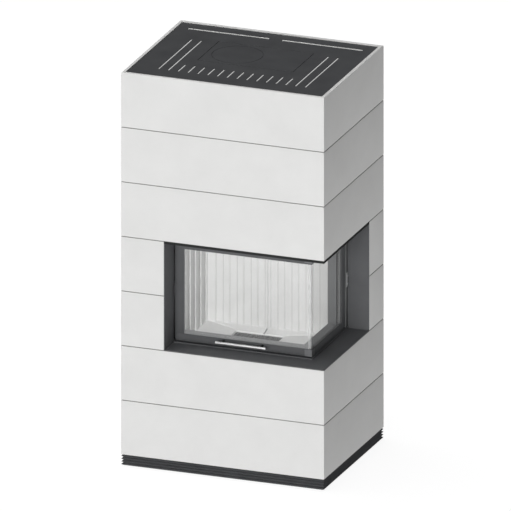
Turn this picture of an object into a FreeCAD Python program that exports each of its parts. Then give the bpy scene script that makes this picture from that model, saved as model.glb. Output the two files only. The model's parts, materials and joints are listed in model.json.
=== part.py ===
import FreeCAD, Part
import math
import os
import re

import Sketcher

# A corner-glazed wood fireplace: seven cast modules on a louvred plinth, around a steel insert
# whose L-shaped glass door lifts on chains and counterweights.
# Millimetres; X to the right, Y to the back, Z up; origin at the centre of the base.

SIZES = {
    # casing
    "casing_width": 900,
    "casing_depth": 700,
    "course_height": 240,
    "module_wall": 50,
    "joint_chamfer": 2.5,
    "dowel_diameter": 12,
    "dowel_length": 60,
    "dowel_clearance": 0.3,
    "dowel_left_y": 150,
    "dowel_back_x": 200,
    "dowel_corner_inset": 80,
    "dowel_pier_inset": 60,
    # plinth
    "plinth_height": 48,
    "plinth_inset": 13,
    "plinth_bar": 34,
    "plinth_port_width": 300,
    "plinth_port_height": 25,
    "louvre_tip_inset": 0.5,
    "louvre_gap": 1,
    "louvre_slope": 57,
    # corner window and its steel surround
    "window_left": 190,
    "window_rear": 169,
    "reveal_front": 106,
    "reveal_side": 94,
    "sheet_steel": 3,
    "sill_upstand": 5,
    "lintel_thickness": 10,
    "post_size": 40,
    "post_gap": 2,
    # door
    "door_setback_front": 120,
    "door_setback_side": 100,
    "door_thickness": 20,
    "door_gap": 2,
    "door_rear_gap": 25,
    "door_sill_gap": 10,
    "door_head_gap": 30,
    "bottom_rail_height": 30,
    "rail_groove_rise": 4,
    "rail_groove_width": 2,
    "rail_groove_depth": 3,
    "top_rail_height": 37,
    "left_stile_width": 39,
    "rear_stile_width": 32,
    "glass_thickness": 4,
    "glass_cover": 12,
    "glass_clearance": 0.5,
    "frame_lip": 3,
    "retainer_thickness": 8,
    "corner_strip_leg": 11,
    "corner_strip_sheet": 1,
    "bracket_leg": 31,
    "bracket_height": 30,
    "bracket_sheet": 2,
    "seal_width": 10,
    "seal_thickness": 7.7,
    "seal_inset": 3,
    "seal_left_inset": 1,
    "seal_clearance": 0.3,
    "handle_length": 223,
    "handle_diameter": 10,
    "handle_edge": 1,
    "handle_standoff": 35,
    "handle_spacing": 172,
    "handle_rise": 23,
    "handle_post_diameter": 9,
    # firebox
    "box_steel": 4,
    "lining_thickness": 34,
    "lining_inset": 7,
    "lining_overlap": 20,
    "chamber_rear_offset": 23,
    "flute_pitch": 62,
    "flute_width": 31,
    "flute_depth": 7,
    "flute_margin": 13,
    "front_post_cover": 12,
    "ledge_front": 58,
    "ledge_side": 38,
    "ledge_rise": 28,
    "hearth_drop": 23,
    "hearth_fall": 12,
    "hearth_base": 46,
    "recess_left": 146,
    "recess_right": 177,
    "recess_back": 47,
    "recess_front": 64,
    "recess_rim": 17,
    "grate_clearance": 1,
    "grate_height": 40,
    "grate_seat": 8,
    "grate_frame": 14,
    "ash_box_depth": 68,
    "ash_box_steel": 3,
    "ash_pan_steel": 2,
    "ash_pan_clearance": 3,
    "ash_pan_height": 55,
    "fire_head": 35,
    "hood_height": 300,
    "baffle_thickness": 30,
    "baffle_front_gap": 100,
    "baffle_gap": 4,
    "baffle_rest_width": 18,
    "baffle_rest_height": 10,
    # flue
    "flue_offset": 80,
    "flue_from_back": 133,
    "collar_diameter": 180,
    "collar_wall": 6,
    "collar_height": 150,
    "collar_flange": 25,
    "collar_flange_thickness": 6,
    "collar_bolt": 8,
    "collar_bolt_count": 8,
    "collar_bolt_clearance": 0.3,
    "bolt_head_diameter": 13,
    "bolt_head_height": 5,
    # combustion air
    "plenum_right": 70,
    "plenum_width": 150,
    "plenum_length": 160,
    "plenum_front": 100,
    "plenum_depth": 80,
    "spigot_diameter": 125,
    "spigot_length": 70,
    "spigot_wall": 3,
    "throttle_length": 60,
    "throttle_wall": 3,
    "flap_clearance": 2,
    "flap_thickness": 2,
    "flap_shaft": 8,
    "shaft_clearance": 0.08,
    "flap_lever": 70,
    "lever_width": 14,
    "lever_gap": 4,
    # stand
    "stand_tube": 40,
    "foot_height": 40,
    "foot_diameter": 60,
    "foot_plate": 10,
    "spindle_diameter": 16,
    # lift
    "lift_travel": 400,
    "rail_width": 30,
    "rail_depth": 54,
    "rail_steel": 3,
    "rail_lip": 5,
    "rail_stand_off": 4,
    "rail_low_margin": 120,
    "rail_high_margin": 120,
    "carriage_length": 200,
    "carriage_depth": 28,
    "carriage_clearance": 0.5,
    "arm_height": 52,
    "arm_clearance": 1,
    "chain_inset": 14,
    "chain_width": 8,
    "chain_plate": 2,
    "chain_height": 6,
    "chain_clearance": 0.3,
    "sprocket_radius": 35,
    "sprocket_teeth": 18,
    "sprocket_tooth": 4,
    "sprocket_gap": 45,
    "axle_diameter": 12,
    "bracket_plate": 4,
    "bracket_overlap": 20,
    "bracket_margin": 14,
    "weight_gap": 10,
    "weight_width": 41,
    "weight_length": 80,
    "weight_lug": 40,
    # cover
    "rim_width": 15,
    "cover_recess": 4,
    "cover_thickness": 3,
    "cover_clearance": 1,
    "slot_width": 8,
    "slot_pitch": 43.3,
    "slot_front": 108,
    "slot_panel_gap": 69,
    "slot_rear": 200,
    "rear_slot_width": 10,
    "rear_slot_inset": 75,
    "rear_slot_length": 358,
    "rear_slot_bridge": 57,
    "panel_width": 424,
    "panel_length": 251,
    "panel_from_back": 184,
    "panel_clearance": 2,
    "panel_seat": 8,
    "panel_frame": 30,
    "panel_frame_steel": 4,
    "flue_hole": 216,
    "flue_seat": 6,
    "flue_ring": 4,
    "flue_ring_steel": 3,
    "screen_steel": 1,
    "screen_margin": 12,
}
SLOTS_PER_SIDE = 2
SLOTS_BETWEEN = 12
LOUVRES = 4
GRATE_SLOTS = 9
SIDE_FLUTES = 5
BACK_FLUTES = 4

doc = FreeCAD.newDocument("modular_fireplace")
sheet = doc.addObject("Spreadsheet::Sheet", "Sizes")
for row, (alias, value) in enumerate(SIZES.items(), 1):
    sheet.set(f"A{row}", alias)
    sheet.set(f"B{row}", str(value))
    sheet.setAlias(f"B{row}", alias)
doc.recompute()

WORD = re.compile(r"[a-z][a-z_]+")
nodes = []


# Helpers: every size is an expression of the sheet's values

def bind(item, place, text):
    """Tie one property of a document object to an expression of the sheet's aliases."""
    item.setExpression(place, WORD.sub(lambda m: "Sizes." + m[0] if m[0] in SIZES else m[0], str(text)))


def node(item, label):
    """Name a finished sub-part; the label also names its file."""
    item.Label = label
    nodes.append(item)
    return item


def box(name, x, y, z):
    """A block between two corners."""
    block = doc.addObject("Part::Box", name)
    for size, axis, (low, high) in (("Length", "x", x), ("Width", "y", y), ("Height", "z", z)):
        bind(block, size, f"({high}) - ({low})")
        bind(block, f"Placement.Base.{axis}", low)
    return block


def place(item, x, y, z, rotation=None):
    """Put an object somewhere, turned by a fixed rotation."""
    if rotation:
        item.Placement = FreeCAD.Placement(FreeCAD.Vector(), rotation)
    for axis, text in zip("xyz", (x, y, z)):
        bind(item, f"Placement.Base.{axis}", text)
    return item


ALONG_X = FreeCAD.Rotation(FreeCAD.Vector(0, 1, 0), 90)
ALONG_Y = FreeCAD.Rotation(FreeCAD.Vector(1, 0, 0), -90)


def rod(name, radius, length, x, y, z, rotation=None):
    """A cylinder from a point along Z, or along the turned Z."""
    cylinder = doc.addObject("Part::Cylinder", name)
    bind(cylinder, "Radius", radius)
    bind(cylinder, "Height", length)
    return place(cylinder, x, y, z, rotation)


def fuse(name, *shapes):
    union = doc.addObject("Part::MultiFuse", name)
    union.Shapes = list(shapes)
    union.Refine = True
    return union


def cut(name, base, *tools):
    result = doc.addObject("Part::Cut", name)
    result.Base = base
    result.Tool = tools[0] if len(tools) == 1 else fuse(name + "_tools", *tools)
    return result


def group(name, *shapes):
    """Separate solids that share one node."""
    compound = doc.addObject("Part::Compound", name)
    compound.Links = list(shapes)
    return compound


def sketch_on(body, name, role, lift):
    sketch = body.newObject("Sketcher::SketchObject", name)
    plane = next(item for item in body.Origin.OriginFeatures if item.Role == role)
    sketch.AttachmentSupport = [(plane, "")]
    sketch.MapMode = "FlatFace"
    bind(sketch, "AttachmentOffset.Base.z", lift)
    return sketch


def polygon(body, name, points, lift="0", role="XY_Plane"):
    """A closed outline whose corners are held at expressions from the origin."""
    sketch = sketch_on(body, name, role, lift)
    count = len(points)
    start = [FreeCAD.Vector(math.cos(2 * math.pi * i / count), math.sin(2 * math.pi * i / count), 0)
             for i in range(count)]
    for i in range(count):
        sketch.addGeometry(Part.LineSegment(start[i], start[(i + 1) % count]), False)
    for i in range(count):
        sketch.addConstraint(Sketcher.Constraint("Coincident", i, 2, (i + 1) % count, 1))
    for i, corner in enumerate(points):
        for kind, text in zip(("DistanceX", "DistanceY"), corner):
            held = sketch.addConstraint(Sketcher.Constraint(kind, -1, 1, i, 1, 1.0))
            bind(sketch, f"Constraints[{held}]", text)
    return sketch


def rectangle(body, name, x, y, lift="0"):
    (left, right), (front, back) = x, y
    return polygon(body, name, [(left, front), (right, front), (right, back), (left, back)], lift)


def circles(body, name, radius, centres, lift="0", role="XY_Plane"):
    sketch = sketch_on(body, name, role, lift)
    for i, centre in enumerate(centres):
        sketch.addGeometry(Part.Circle(FreeCAD.Vector(i, i, 0), FreeCAD.Vector(0, 0, 1), 1), False)
        for kind, text in zip(("DistanceX", "DistanceY"), centre):
            held = sketch.addConstraint(Sketcher.Constraint(kind, -1, 1, i, 3, 1.0))
            bind(sketch, f"Constraints[{held}]", text)
        held = sketch.addConstraint(Sketcher.Constraint("Radius", i, 1.0))
        bind(sketch, f"Constraints[{held}]", radius)
    return sketch


def pad(body, profile, length):
    feature = body.newObject("PartDesign::Pad", profile.Name + "_pad")
    feature.Profile = profile
    bind(feature, "Length", length)
    return feature


def pocket(body, profile, length=None, upward=False):
    """Cut a profile downward or upward by a length, or right through both ways."""
    feature = body.newObject("PartDesign::Pocket", profile.Name + "_pocket")
    feature.Profile = profile
    if length is None:
        feature.Type = "ThroughAll"
        feature.SideType = "Symmetric"
        return feature
    bind(feature, "Length", length)
    feature.Reversed = upward
    return feature


def revolve(name, outline):
    """A turned body about Z, from a half outline of radius and height."""
    body = doc.addObject("PartDesign::Body", name)
    sketch = polygon(body, name + "_outline", outline, role="XZ_Plane")
    feature = body.newObject("PartDesign::Revolution", name + "_turned")
    feature.Profile = sketch
    feature.ReferenceAxis = (sketch, ["V_Axis"])
    feature.Angle = 360
    return body


def prism(name, points, low, high):
    body = doc.addObject("PartDesign::Body", name)
    pad(body, polygon(body, name + "_outline", points, lift=low), f"({high}) - ({low})")
    return body


def span(low, length):
    return low, f"{low} + {length}"


# Reference planes and levels

LEFT = "(-casing_width / 2)"
RIGHT = "(casing_width / 2)"
FRONT = "(-casing_depth / 2)"
BACK = "(casing_depth / 2)"


def course(number):
    return f"(plinth_height + {number} * course_height)"


TOP = course(7)
SILL = course(2)
HEAD = course(4)
WINDOW_LEFT = f"({LEFT} + window_left)"
WINDOW_REAR = f"({BACK} - window_rear)"
REVEAL_Y = f"({FRONT} + reveal_front)"
REVEAL_X = f"({RIGHT} - reveal_side)"
LINTEL = f"({HEAD} - lintel_thickness)"

DOOR_FRONT = f"({FRONT} + door_setback_front)"
DOOR_SIDE = f"({RIGHT} - door_setback_side)"
DOOR_INNER_Y = f"({DOOR_FRONT} + door_thickness)"
DOOR_INNER_X = f"({DOOR_SIDE} - door_thickness)"
DOOR_LEFT = f"({WINDOW_LEFT} + sheet_steel + door_gap)"
DOOR_REAR = f"({WINDOW_REAR} - door_rear_gap)"
DOOR_BOTTOM = f"({SILL} + door_sill_gap)"
DOOR_TOP = f"({HEAD} - door_head_gap)"
DOOR_MIDDLE = f"(({DOOR_BOTTOM} + {DOOR_TOP}) / 2)"
SIGHT_BOTTOM = f"({DOOR_BOTTOM} + bottom_rail_height)"
SIGHT_TOP = f"({DOOR_TOP} - top_rail_height)"
SIGHT_LEFT = f"({DOOR_LEFT} + left_stile_width)"
SIGHT_REAR = f"({DOOR_REAR} - rear_stile_width)"
SEAL_Y = f"({DOOR_INNER_Y} + seal_thickness + seal_clearance)"
SEAL_X = f"({DOOR_INNER_X} - seal_thickness - seal_clearance)"

BOX_FRONT = f"({SEAL_Y} + box_steel)"
BOX_RIGHT = f"({SEAL_X} - box_steel)"
LINING_LEFT = f"({DOOR_LEFT} + lining_inset)"
LINING_BACK = f"({DOOR_REAR} - chamber_rear_offset)"
BOX_LEFT = f"({LINING_LEFT} - lining_thickness)"
BOX_BACK = f"({LINING_BACK} + lining_thickness)"
OUTER_LEFT = f"({BOX_LEFT} - box_steel)"
OUTER_BACK = f"({BOX_BACK} + box_steel)"
POST_RIGHT = f"({DOOR_LEFT} + front_post_cover)"
LEDGE_X = f"({SEAL_X} - ledge_side)"
LEDGE_Y = f"({SEAL_Y} + ledge_front)"
LEDGE_TOP = f"({SILL} + ledge_rise)"
LEDGE_UNDER = f"({LEDGE_TOP} - box_steel)"
HEARTH_EDGE = f"({SILL} - hearth_drop)"
HEARTH_RIM = f"({HEARTH_EDGE} - hearth_fall)"
FLOOR = f"({HEARTH_RIM} - hearth_base)"
UNDER_FLOOR = f"({FLOOR} - box_steel)"
FIRE_TOP = f"({DOOR_TOP} - fire_head)"
LINING_TOP = f"({FIRE_TOP} + lining_overlap)"
HOOD_TOP = f"({FIRE_TOP} + hood_height)"
ROOF_TOP = f"({HOOD_TOP} + box_steel)"
MIDDLE_X = f"(({LINING_LEFT} + {LEDGE_X}) / 2)"
FLUE_X = "(-flue_offset)"
FLUE_Y = f"({OUTER_BACK} - flue_from_back)"

RECESS_X = (f"({LINING_LEFT} + recess_left)", f"({LEDGE_X} - recess_right)")
RECESS_Y = (f"({LEDGE_Y} + recess_front)", f"({LINING_BACK} - recess_back)")


# Casing modules

DOWELS = [
    (f"{WINDOW_LEFT} - dowel_pier_inset", f"{FRONT} + module_wall / 2"),
    (f"{LEFT} + module_wall / 2", "dowel_left_y"),
    ("dowel_back_x", f"{BACK} - module_wall / 2"),
    (f"{RIGHT} - module_wall / 2", f"{BACK} - dowel_corner_inset"),
]
DOWEL_HOLE = "dowel_diameter / 2 + dowel_clearance"
DOWEL_DEPTH = "dowel_length / 2 + dowel_clearance"


def module(label, number, has_window=False, is_first=False, is_last=False):
    """One cast ring of the stack, with bevelled joints and dowel holes."""
    body = doc.addObject("PartDesign::Body", label)
    low = course(number)
    high = course(number + 1)
    block = pad(body, rectangle(body, label + "_outline", (LEFT, RIGHT), (FRONT, BACK), low), "course_height")
    doc.recompute()
    bevel = body.newObject("PartDesign::Chamfer", label + "_bevel")
    level = [f"Face{i}" for i, face in enumerate(block.Shape.Faces, 1) if abs(face.normalAt(0, 0).z) > 0.5]
    bevel.Base = (block, level)
    bind(bevel, "Size", "joint_chamfer")
    inside = rectangle(
        body, label + "_inside",
        (f"{LEFT} + module_wall", f"{RIGHT} - module_wall"),
        (f"{FRONT} + module_wall", f"{BACK} - module_wall"), low)
    pocket(body, inside)
    if has_window:
        pocket(body, rectangle(body, label + "_window", (WINDOW_LEFT, f"{RIGHT} + module_wall"),
                               (f"{FRONT} - module_wall", WINDOW_REAR), low))
    if not is_first:
        holes = circles(body, label + "_lower_dowels", DOWEL_HOLE, DOWELS, low)
        pocket(body, holes, DOWEL_DEPTH, upward=True)
    if not is_last:
        holes = circles(body, label + "_upper_dowels", DOWEL_HOLE, DOWELS, high)
        pocket(body, holes, DOWEL_DEPTH)
    if is_last:
        seat = rectangle(body, label + "_seat", (f"{LEFT} + rim_width", f"{RIGHT} - rim_width"),
                         (f"{FRONT} + rim_width", f"{BACK} - rim_width"), high)
        pocket(body, seat, "cover_recess + cover_thickness")
    return node(body, label)


module("base_module", 0, is_first=True)
module("lower_module", 1)
module("window_module_lower", 2, has_window=True)
module("window_module_upper", 3, has_window=True)
module("lintel_module", 4)
module("upper_module", 5)
module("top_module", 6, is_last=True)

dowel_rods = []
for joint in range(1, 7):
    for number, (x, y) in enumerate(DOWELS):
        dowel_rods.append(rod(f"dowel_{joint}_{number}", "dowel_diameter / 2", "dowel_length",
                              x, y, f"{course(joint)} - dowel_length / 2"))
node(group("dowels", *dowel_rods), "locating_dowels")


# Plinth

def inset_span(low, high, inset):
    return f"{low} + {inset}", f"{high} - {inset}"


PLINTH_X = inset_span(LEFT, RIGHT, "plinth_inset")
PLINTH_Y = inset_span(FRONT, BACK, "plinth_inset")
PORT_Z = ("(plinth_height - plinth_port_height) / 2", "(plinth_height + plinth_port_height) / 2")
PORT = ("-plinth_port_width / 2", "plinth_port_width / 2")
plinth = cut(
    "plinth_ring",
    box("plinth_outer", PLINTH_X, PLINTH_Y, ("0", "plinth_height")),
    box("plinth_inner", inset_span(*PLINTH_X, "plinth_bar"), inset_span(*PLINTH_Y, "plinth_bar"),
        ("0", "plinth_height")),
    box("plinth_port_front_back", PORT, (FRONT, BACK), PORT_Z),
    box("plinth_port_sides", (LEFT, RIGHT), PORT, PORT_Z))
node(plinth, "plinth_frame")


def louvre(number):
    """One pointed ring around the plinth frame."""
    body = doc.addObject("PartDesign::Body", f"louvre_{number}")
    pitch = f"plinth_height / {LOUVRES}"
    ridge = pad(body, rectangle(body, f"louvre_tip_{number}", inset_span(LEFT, RIGHT, "louvre_tip_inset"),
                                inset_span(FRONT, BACK, "louvre_tip_inset"), f"({number} + 0.5) * {pitch}"),
                f"({pitch} - louvre_gap) / 2")
    ridge.SideType = "Two sides"
    bind(ridge, "Length2", f"({pitch} - louvre_gap) / 2")
    bind(ridge, "TaperAngle", "-louvre_slope")
    bind(ridge, "TaperAngle2", "-louvre_slope")
    pocket(body, rectangle(body, f"louvre_seat_{number}", PLINTH_X, PLINTH_Y, f"{number} * {pitch}"))
    return body


node(group("louvres", *[louvre(number) for number in range(LOUVRES)]), "plinth_louvres")


# Window surround

sill = doc.addObject("PartDesign::Body", "sill")
pad(sill, polygon(sill, "sill_outline", [
    (WINDOW_LEFT, FRONT), (RIGHT, FRONT), (RIGHT, WINDOW_REAR), (SEAL_X, WINDOW_REAR),
    (SEAL_X, SEAL_Y), (WINDOW_LEFT, SEAL_Y)], SILL), "sheet_steel")
UPSTAND_X = (f"({WINDOW_LEFT} + sheet_steel)", f"({REVEAL_X} + sheet_steel)")
UPSTAND_Y = (f"({REVEAL_Y} - sheet_steel)", f"({WINDOW_REAR} - sheet_steel)")
pad(sill, polygon(sill, "upstand_outline", [
    (UPSTAND_X[0], UPSTAND_Y[0]), (UPSTAND_X[1], UPSTAND_Y[0]), (UPSTAND_X[1], UPSTAND_Y[1]),
    (REVEAL_X, UPSTAND_Y[1]), (REVEAL_X, REVEAL_Y), (UPSTAND_X[0], REVEAL_Y)],
    f"{SILL} + sheet_steel"), "sill_upstand")
node(sill, "sill_plate")

CHEEK_Z = (f"{SILL} + sheet_steel", LINTEL)
node(group("reveals",
           box("left_reveal", span(WINDOW_LEFT, "sheet_steel"), (FRONT, REVEAL_Y), CHEEK_Z),
           box("rear_reveal", (REVEAL_X, RIGHT), (f"{WINDOW_REAR} - sheet_steel", WINDOW_REAR), CHEEK_Z)),
     "reveal_cheeks")

POST_LEFT_X = (f"{WINDOW_LEFT} - post_size", WINDOW_LEFT)
POST_LEFT_Y = span(f"({FRONT} + module_wall + post_gap)", "post_size")
POST_REAR_X = (f"({RIGHT} - module_wall - post_gap - post_size)", f"({RIGHT} - module_wall - post_gap)")
POST_REAR_Y = span(WINDOW_REAR, "post_size")
node(prism("lintel", [
    (WINDOW_LEFT, FRONT), (RIGHT, FRONT), (RIGHT, WINDOW_REAR), (POST_REAR_X[1], WINDOW_REAR),
    (POST_REAR_X[1], POST_REAR_Y[1]), (REVEAL_X, POST_REAR_Y[1]), (REVEAL_X, REVEAL_Y),
    (POST_LEFT_X[0], REVEAL_Y), (POST_LEFT_X[0], POST_LEFT_Y[0]), (WINDOW_LEFT, POST_LEFT_Y[0])],
    LINTEL, HEAD), "lintel_beam")
node(group("posts",
           box("left_post", POST_LEFT_X, POST_LEFT_Y, ("0", LINTEL)),
           box("rear_post", POST_REAR_X, POST_REAR_Y, ("0", LINTEL))), "carrier_posts")


# Stand of the insert

STAND_LOW = f"({UNDER_FLOOR} - stand_tube)"
STAND_X = (OUTER_LEFT, SEAL_X)
STAND_Y = (SEAL_Y, OUTER_BACK)
STAND_Z = (STAND_LOW, UNDER_FLOOR)
INNER_Y = inset_span(*STAND_Y, "stand_tube")
rails_of_stand = [
    box("stand_front", STAND_X, (STAND_Y[0], INNER_Y[0]), STAND_Z),
    box("stand_back", STAND_X, (INNER_Y[1], STAND_Y[1]), STAND_Z),
    box("stand_left", (STAND_X[0], f"{STAND_X[0]} + stand_tube"), INNER_Y, STAND_Z),
    box("stand_right", (f"{STAND_X[1]} - stand_tube", STAND_X[1]), INNER_Y, STAND_Z)]
left_tie = box("left_tie", (OUTER_LEFT, f"{OUTER_LEFT} + stand_tube / 2"), (POST_LEFT_Y[1], SEAL_Y), STAND_Z)
rear_tie = box("rear_tie", (SEAL_X, POST_REAR_X[1]), (f"{OUTER_BACK} - stand_tube / 2", WINDOW_REAR), STAND_Z)
CORNERS = [(x, y) for x in (OUTER_LEFT, f"({SEAL_X} - stand_tube)")
           for y in (SEAL_Y, f"({OUTER_BACK} - stand_tube)")]
legs = [box(f"leg_{number}", span(x, "stand_tube"), span(y, "stand_tube"), ("foot_height", STAND_LOW))
        for number, (x, y) in enumerate(CORNERS)]
node(group("stand", *rails_of_stand, left_tie, rear_tie, *legs), "insert_stand")

feet = []
for number, (x, y) in enumerate(CORNERS):
    foot = revolve(f"foot_{number}", [
        ("0", "0"), ("foot_diameter / 2", "0"),
        ("foot_diameter / 2", "foot_plate"), ("spindle_diameter / 2", "foot_plate"),
        ("spindle_diameter / 2", "foot_height"), ("0", "foot_height")])
    feet.append(place(foot, f"{x} + stand_tube / 2", f"{y} + stand_tube / 2", "0"))
node(group("feet", *feet), "stand_feet")


# Firebox

GRATE_X = inset_span(*RECESS_X, "grate_clearance")
GRATE_Y = inset_span(*RECESS_Y, "grate_clearance")
THROAT_X = inset_span(*RECESS_X, "grate_seat")
THROAT_Y = inset_span(*RECESS_Y, "grate_seat")
ASH_OUT_X = inset_span(*THROAT_X, "-ash_box_steel")
ASH_OUT_Y = inset_span(*THROAT_Y, "-ash_box_steel")
ASH_FLOOR = f"({UNDER_FLOOR} - ash_box_depth + ash_box_steel)"
PLENUM_X = span(f"({RECESS_X[1]} + plenum_right - plenum_width / 2)", "plenum_width")
PLENUM_Y = span("(-plenum_front)", "plenum_length")
PLENUM_LOW = f"({UNDER_FLOOR} - plenum_depth)"
SPIGOT_X = f"({PLENUM_X[0]} + plenum_width / 2)"
SPIGOT_Y = f"({PLENUM_Y[0]} + plenum_length / 2)"
floor_plate = fuse(
    "floor_welded",
    box("floor_sheet", (BOX_LEFT, BOX_RIGHT), (BOX_FRONT, BOX_BACK), (UNDER_FLOOR, FLOOR)),
    box("ash_trough", ASH_OUT_X, ASH_OUT_Y, (f"{UNDER_FLOOR} - ash_box_depth", UNDER_FLOOR)),
    box("plenum_outer", PLENUM_X, PLENUM_Y, (PLENUM_LOW, UNDER_FLOOR)))
node(cut(
    "floor_cut", floor_plate,
    box("ash_throat", THROAT_X, THROAT_Y, (ASH_FLOOR, FLOOR)),
    box("plenum_inner", inset_span(*PLENUM_X, "box_steel"), inset_span(*PLENUM_Y, "box_steel"),
        (f"{PLENUM_LOW} + box_steel", UNDER_FLOOR)),
    rod("plenum_port", "spigot_diameter / 2 - spigot_wall", "box_steel", SPIGOT_X, SPIGOT_Y, PLENUM_LOW)),
    "firebox_floor")

WALL_Z = (UNDER_FLOOR, HOOD_TOP)
node(group("walls",
           box("left_wall", (OUTER_LEFT, BOX_LEFT), (BOX_FRONT, OUTER_BACK), WALL_Z),
           box("back_wall", (BOX_LEFT, BOX_RIGHT), (BOX_BACK, OUTER_BACK), WALL_Z)), "firebox_walls")
rear_corner = prism("rear_corner", [
    (LEDGE_X, LINING_BACK), (SEAL_X, LINING_BACK), (SEAL_X, OUTER_BACK), (BOX_RIGHT, OUTER_BACK),
    (BOX_RIGHT, f"{LINING_BACK} + box_steel"), (LEDGE_X, f"{LINING_BACK} + box_steel")], FLOOR, FIRE_TOP)
node(group(
    "front_frame", rear_corner,
    box("front_post", (OUTER_LEFT, POST_RIGHT), (SEAL_Y, BOX_FRONT), (UNDER_FLOOR, FIRE_TOP)),
    box("front_skirt", (POST_RIGHT, SEAL_X), (SEAL_Y, BOX_FRONT), (UNDER_FLOOR, LEDGE_UNDER)),
    box("side_skirt", (BOX_RIGHT, SEAL_X), (BOX_FRONT, LINING_BACK), (UNDER_FLOOR, LEDGE_UNDER))),
    "firebox_front_frame")
REST_X = (f"({BOX_RIGHT} - baffle_rest_width)", BOX_RIGHT)
BAFFLE_Y = (f"({BOX_FRONT} + baffle_front_gap)", BOX_BACK)
node(group(
    "hood",
    box("hood_front", (OUTER_LEFT, SEAL_X), (SEAL_Y, BOX_FRONT), (FIRE_TOP, HOOD_TOP)),
    box("hood_side", (BOX_RIGHT, SEAL_X), (BOX_FRONT, OUTER_BACK), (FIRE_TOP, HOOD_TOP)),
    box("baffle_rest", REST_X, BAFFLE_Y, (f"{LINING_TOP} - baffle_rest_height", LINING_TOP))), "hood_plates")
node(box("baffle", (BOX_LEFT, f"{BOX_RIGHT} - baffle_gap"), BAFFLE_Y, span(LINING_TOP, "baffle_thickness")),
     "baffle_plate")
node(prism("ledge", [
    (POST_RIGHT, SEAL_Y), (SEAL_X, SEAL_Y), (SEAL_X, LINING_BACK), (LEDGE_X, LINING_BACK), (LEDGE_X, LEDGE_Y),
    (LINING_LEFT, LEDGE_Y), (LINING_LEFT, BOX_FRONT), (POST_RIGHT, BOX_FRONT)], LEDGE_UNDER, LEDGE_TOP),
    "hearth_ledge")


# Flue collar on the roof

BOLT_CIRCLE = "collar_diameter / 2 + collar_flange / 2"
BOLT_HOLE = "collar_bolt / 2 + collar_bolt_clearance"


def on_bolt_circle(name, radius, length, z):
    turns = [f"{360 * number / SIZES['collar_bolt_count']}" for number in range(SIZES["collar_bolt_count"])]
    return [rod(f"{name}_{number}", radius, length, f"{FLUE_X} + ({BOLT_CIRCLE}) * cos({turn} deg)",
                f"{FLUE_Y} + ({BOLT_CIRCLE}) * sin({turn} deg)", z) for number, turn in enumerate(turns)]


node(cut("roof", box("roof_sheet", (OUTER_LEFT, SEAL_X), (SEAL_Y, OUTER_BACK), (HOOD_TOP, ROOF_TOP)),
         rod("roof_port", "collar_diameter / 2 - collar_wall", "box_steel", FLUE_X, FLUE_Y, HOOD_TOP),
         *on_bolt_circle("roof_bolt_hole", BOLT_HOLE, "box_steel", HOOD_TOP)), "firebox_roof")
collar = place(revolve("collar", [
    ("collar_diameter / 2 - collar_wall", "0"), ("collar_diameter / 2 + collar_flange", "0"),
    ("collar_diameter / 2 + collar_flange", "collar_flange_thickness"),
    ("collar_diameter / 2", "collar_flange_thickness"), ("collar_diameter / 2", "collar_height"),
    ("collar_diameter / 2 - collar_wall", "collar_height")]), FLUE_X, FLUE_Y, ROOF_TOP)
node(cut("collar_drilled", collar,
         *on_bolt_circle("collar_bolt_hole", BOLT_HOLE, "collar_flange_thickness", ROOF_TOP)), "flue_collar")
shanks = on_bolt_circle("bolt_shank", "collar_bolt / 2", "box_steel + collar_flange_thickness", HOOD_TOP)
heads = on_bolt_circle("bolt_head", "bolt_head_diameter / 2", "bolt_head_height",
                       f"{ROOF_TOP} + collar_flange_thickness")
node(group("bolts", *[fuse(f"bolt_{number}", *pair) for number, pair in enumerate(zip(shanks, heads))]),
     "collar_bolts")


# Fluted lining and sloped hearth

def fluted(label, x, y, grooves):
    """A lining slab with vertical grooves in its face."""
    return node(cut(label + "_fluted", box(label + "_slab", x, y, (FLOOR, LINING_TOP)), *grooves), label)


side_grooves = []
for number in range(SIDE_FLUTES):
    rear = f"({LINING_BACK} - flute_margin - {number} * flute_pitch)"
    side_grooves.append(box(f"side_flute_{number}", (f"{LINING_LEFT} - flute_depth", LINING_LEFT),
                            (f"{rear} - flute_width", rear), (HEARTH_EDGE, LINING_TOP)))
fluted("lining_left", (BOX_LEFT, LINING_LEFT), (BOX_FRONT, LINING_BACK), side_grooves)


def back_grooves(label, first):
    grooves = []
    for number in range(BACK_FLUTES):
        left = f"({first} + {number} * flute_pitch)"
        grooves.append(box(f"{label}_flute_{number}", span(left, "flute_width"),
                           span(LINING_BACK, "flute_depth"), (HEARTH_EDGE, LINING_TOP)))
    return grooves


LAST_FLUTE = f"flute_margin + {BACK_FLUTES - 1} * flute_pitch + flute_width"
fluted("lining_back_left", (BOX_LEFT, MIDDLE_X), (LINING_BACK, BOX_BACK),
       back_grooves("back_left", f"({MIDDLE_X} - ({LAST_FLUTE}))"))
fluted("lining_back_right", (MIDDLE_X, LEDGE_X), (LINING_BACK, BOX_BACK),
       back_grooves("back_right", f"({MIDDLE_X} + flute_margin)"))

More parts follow.
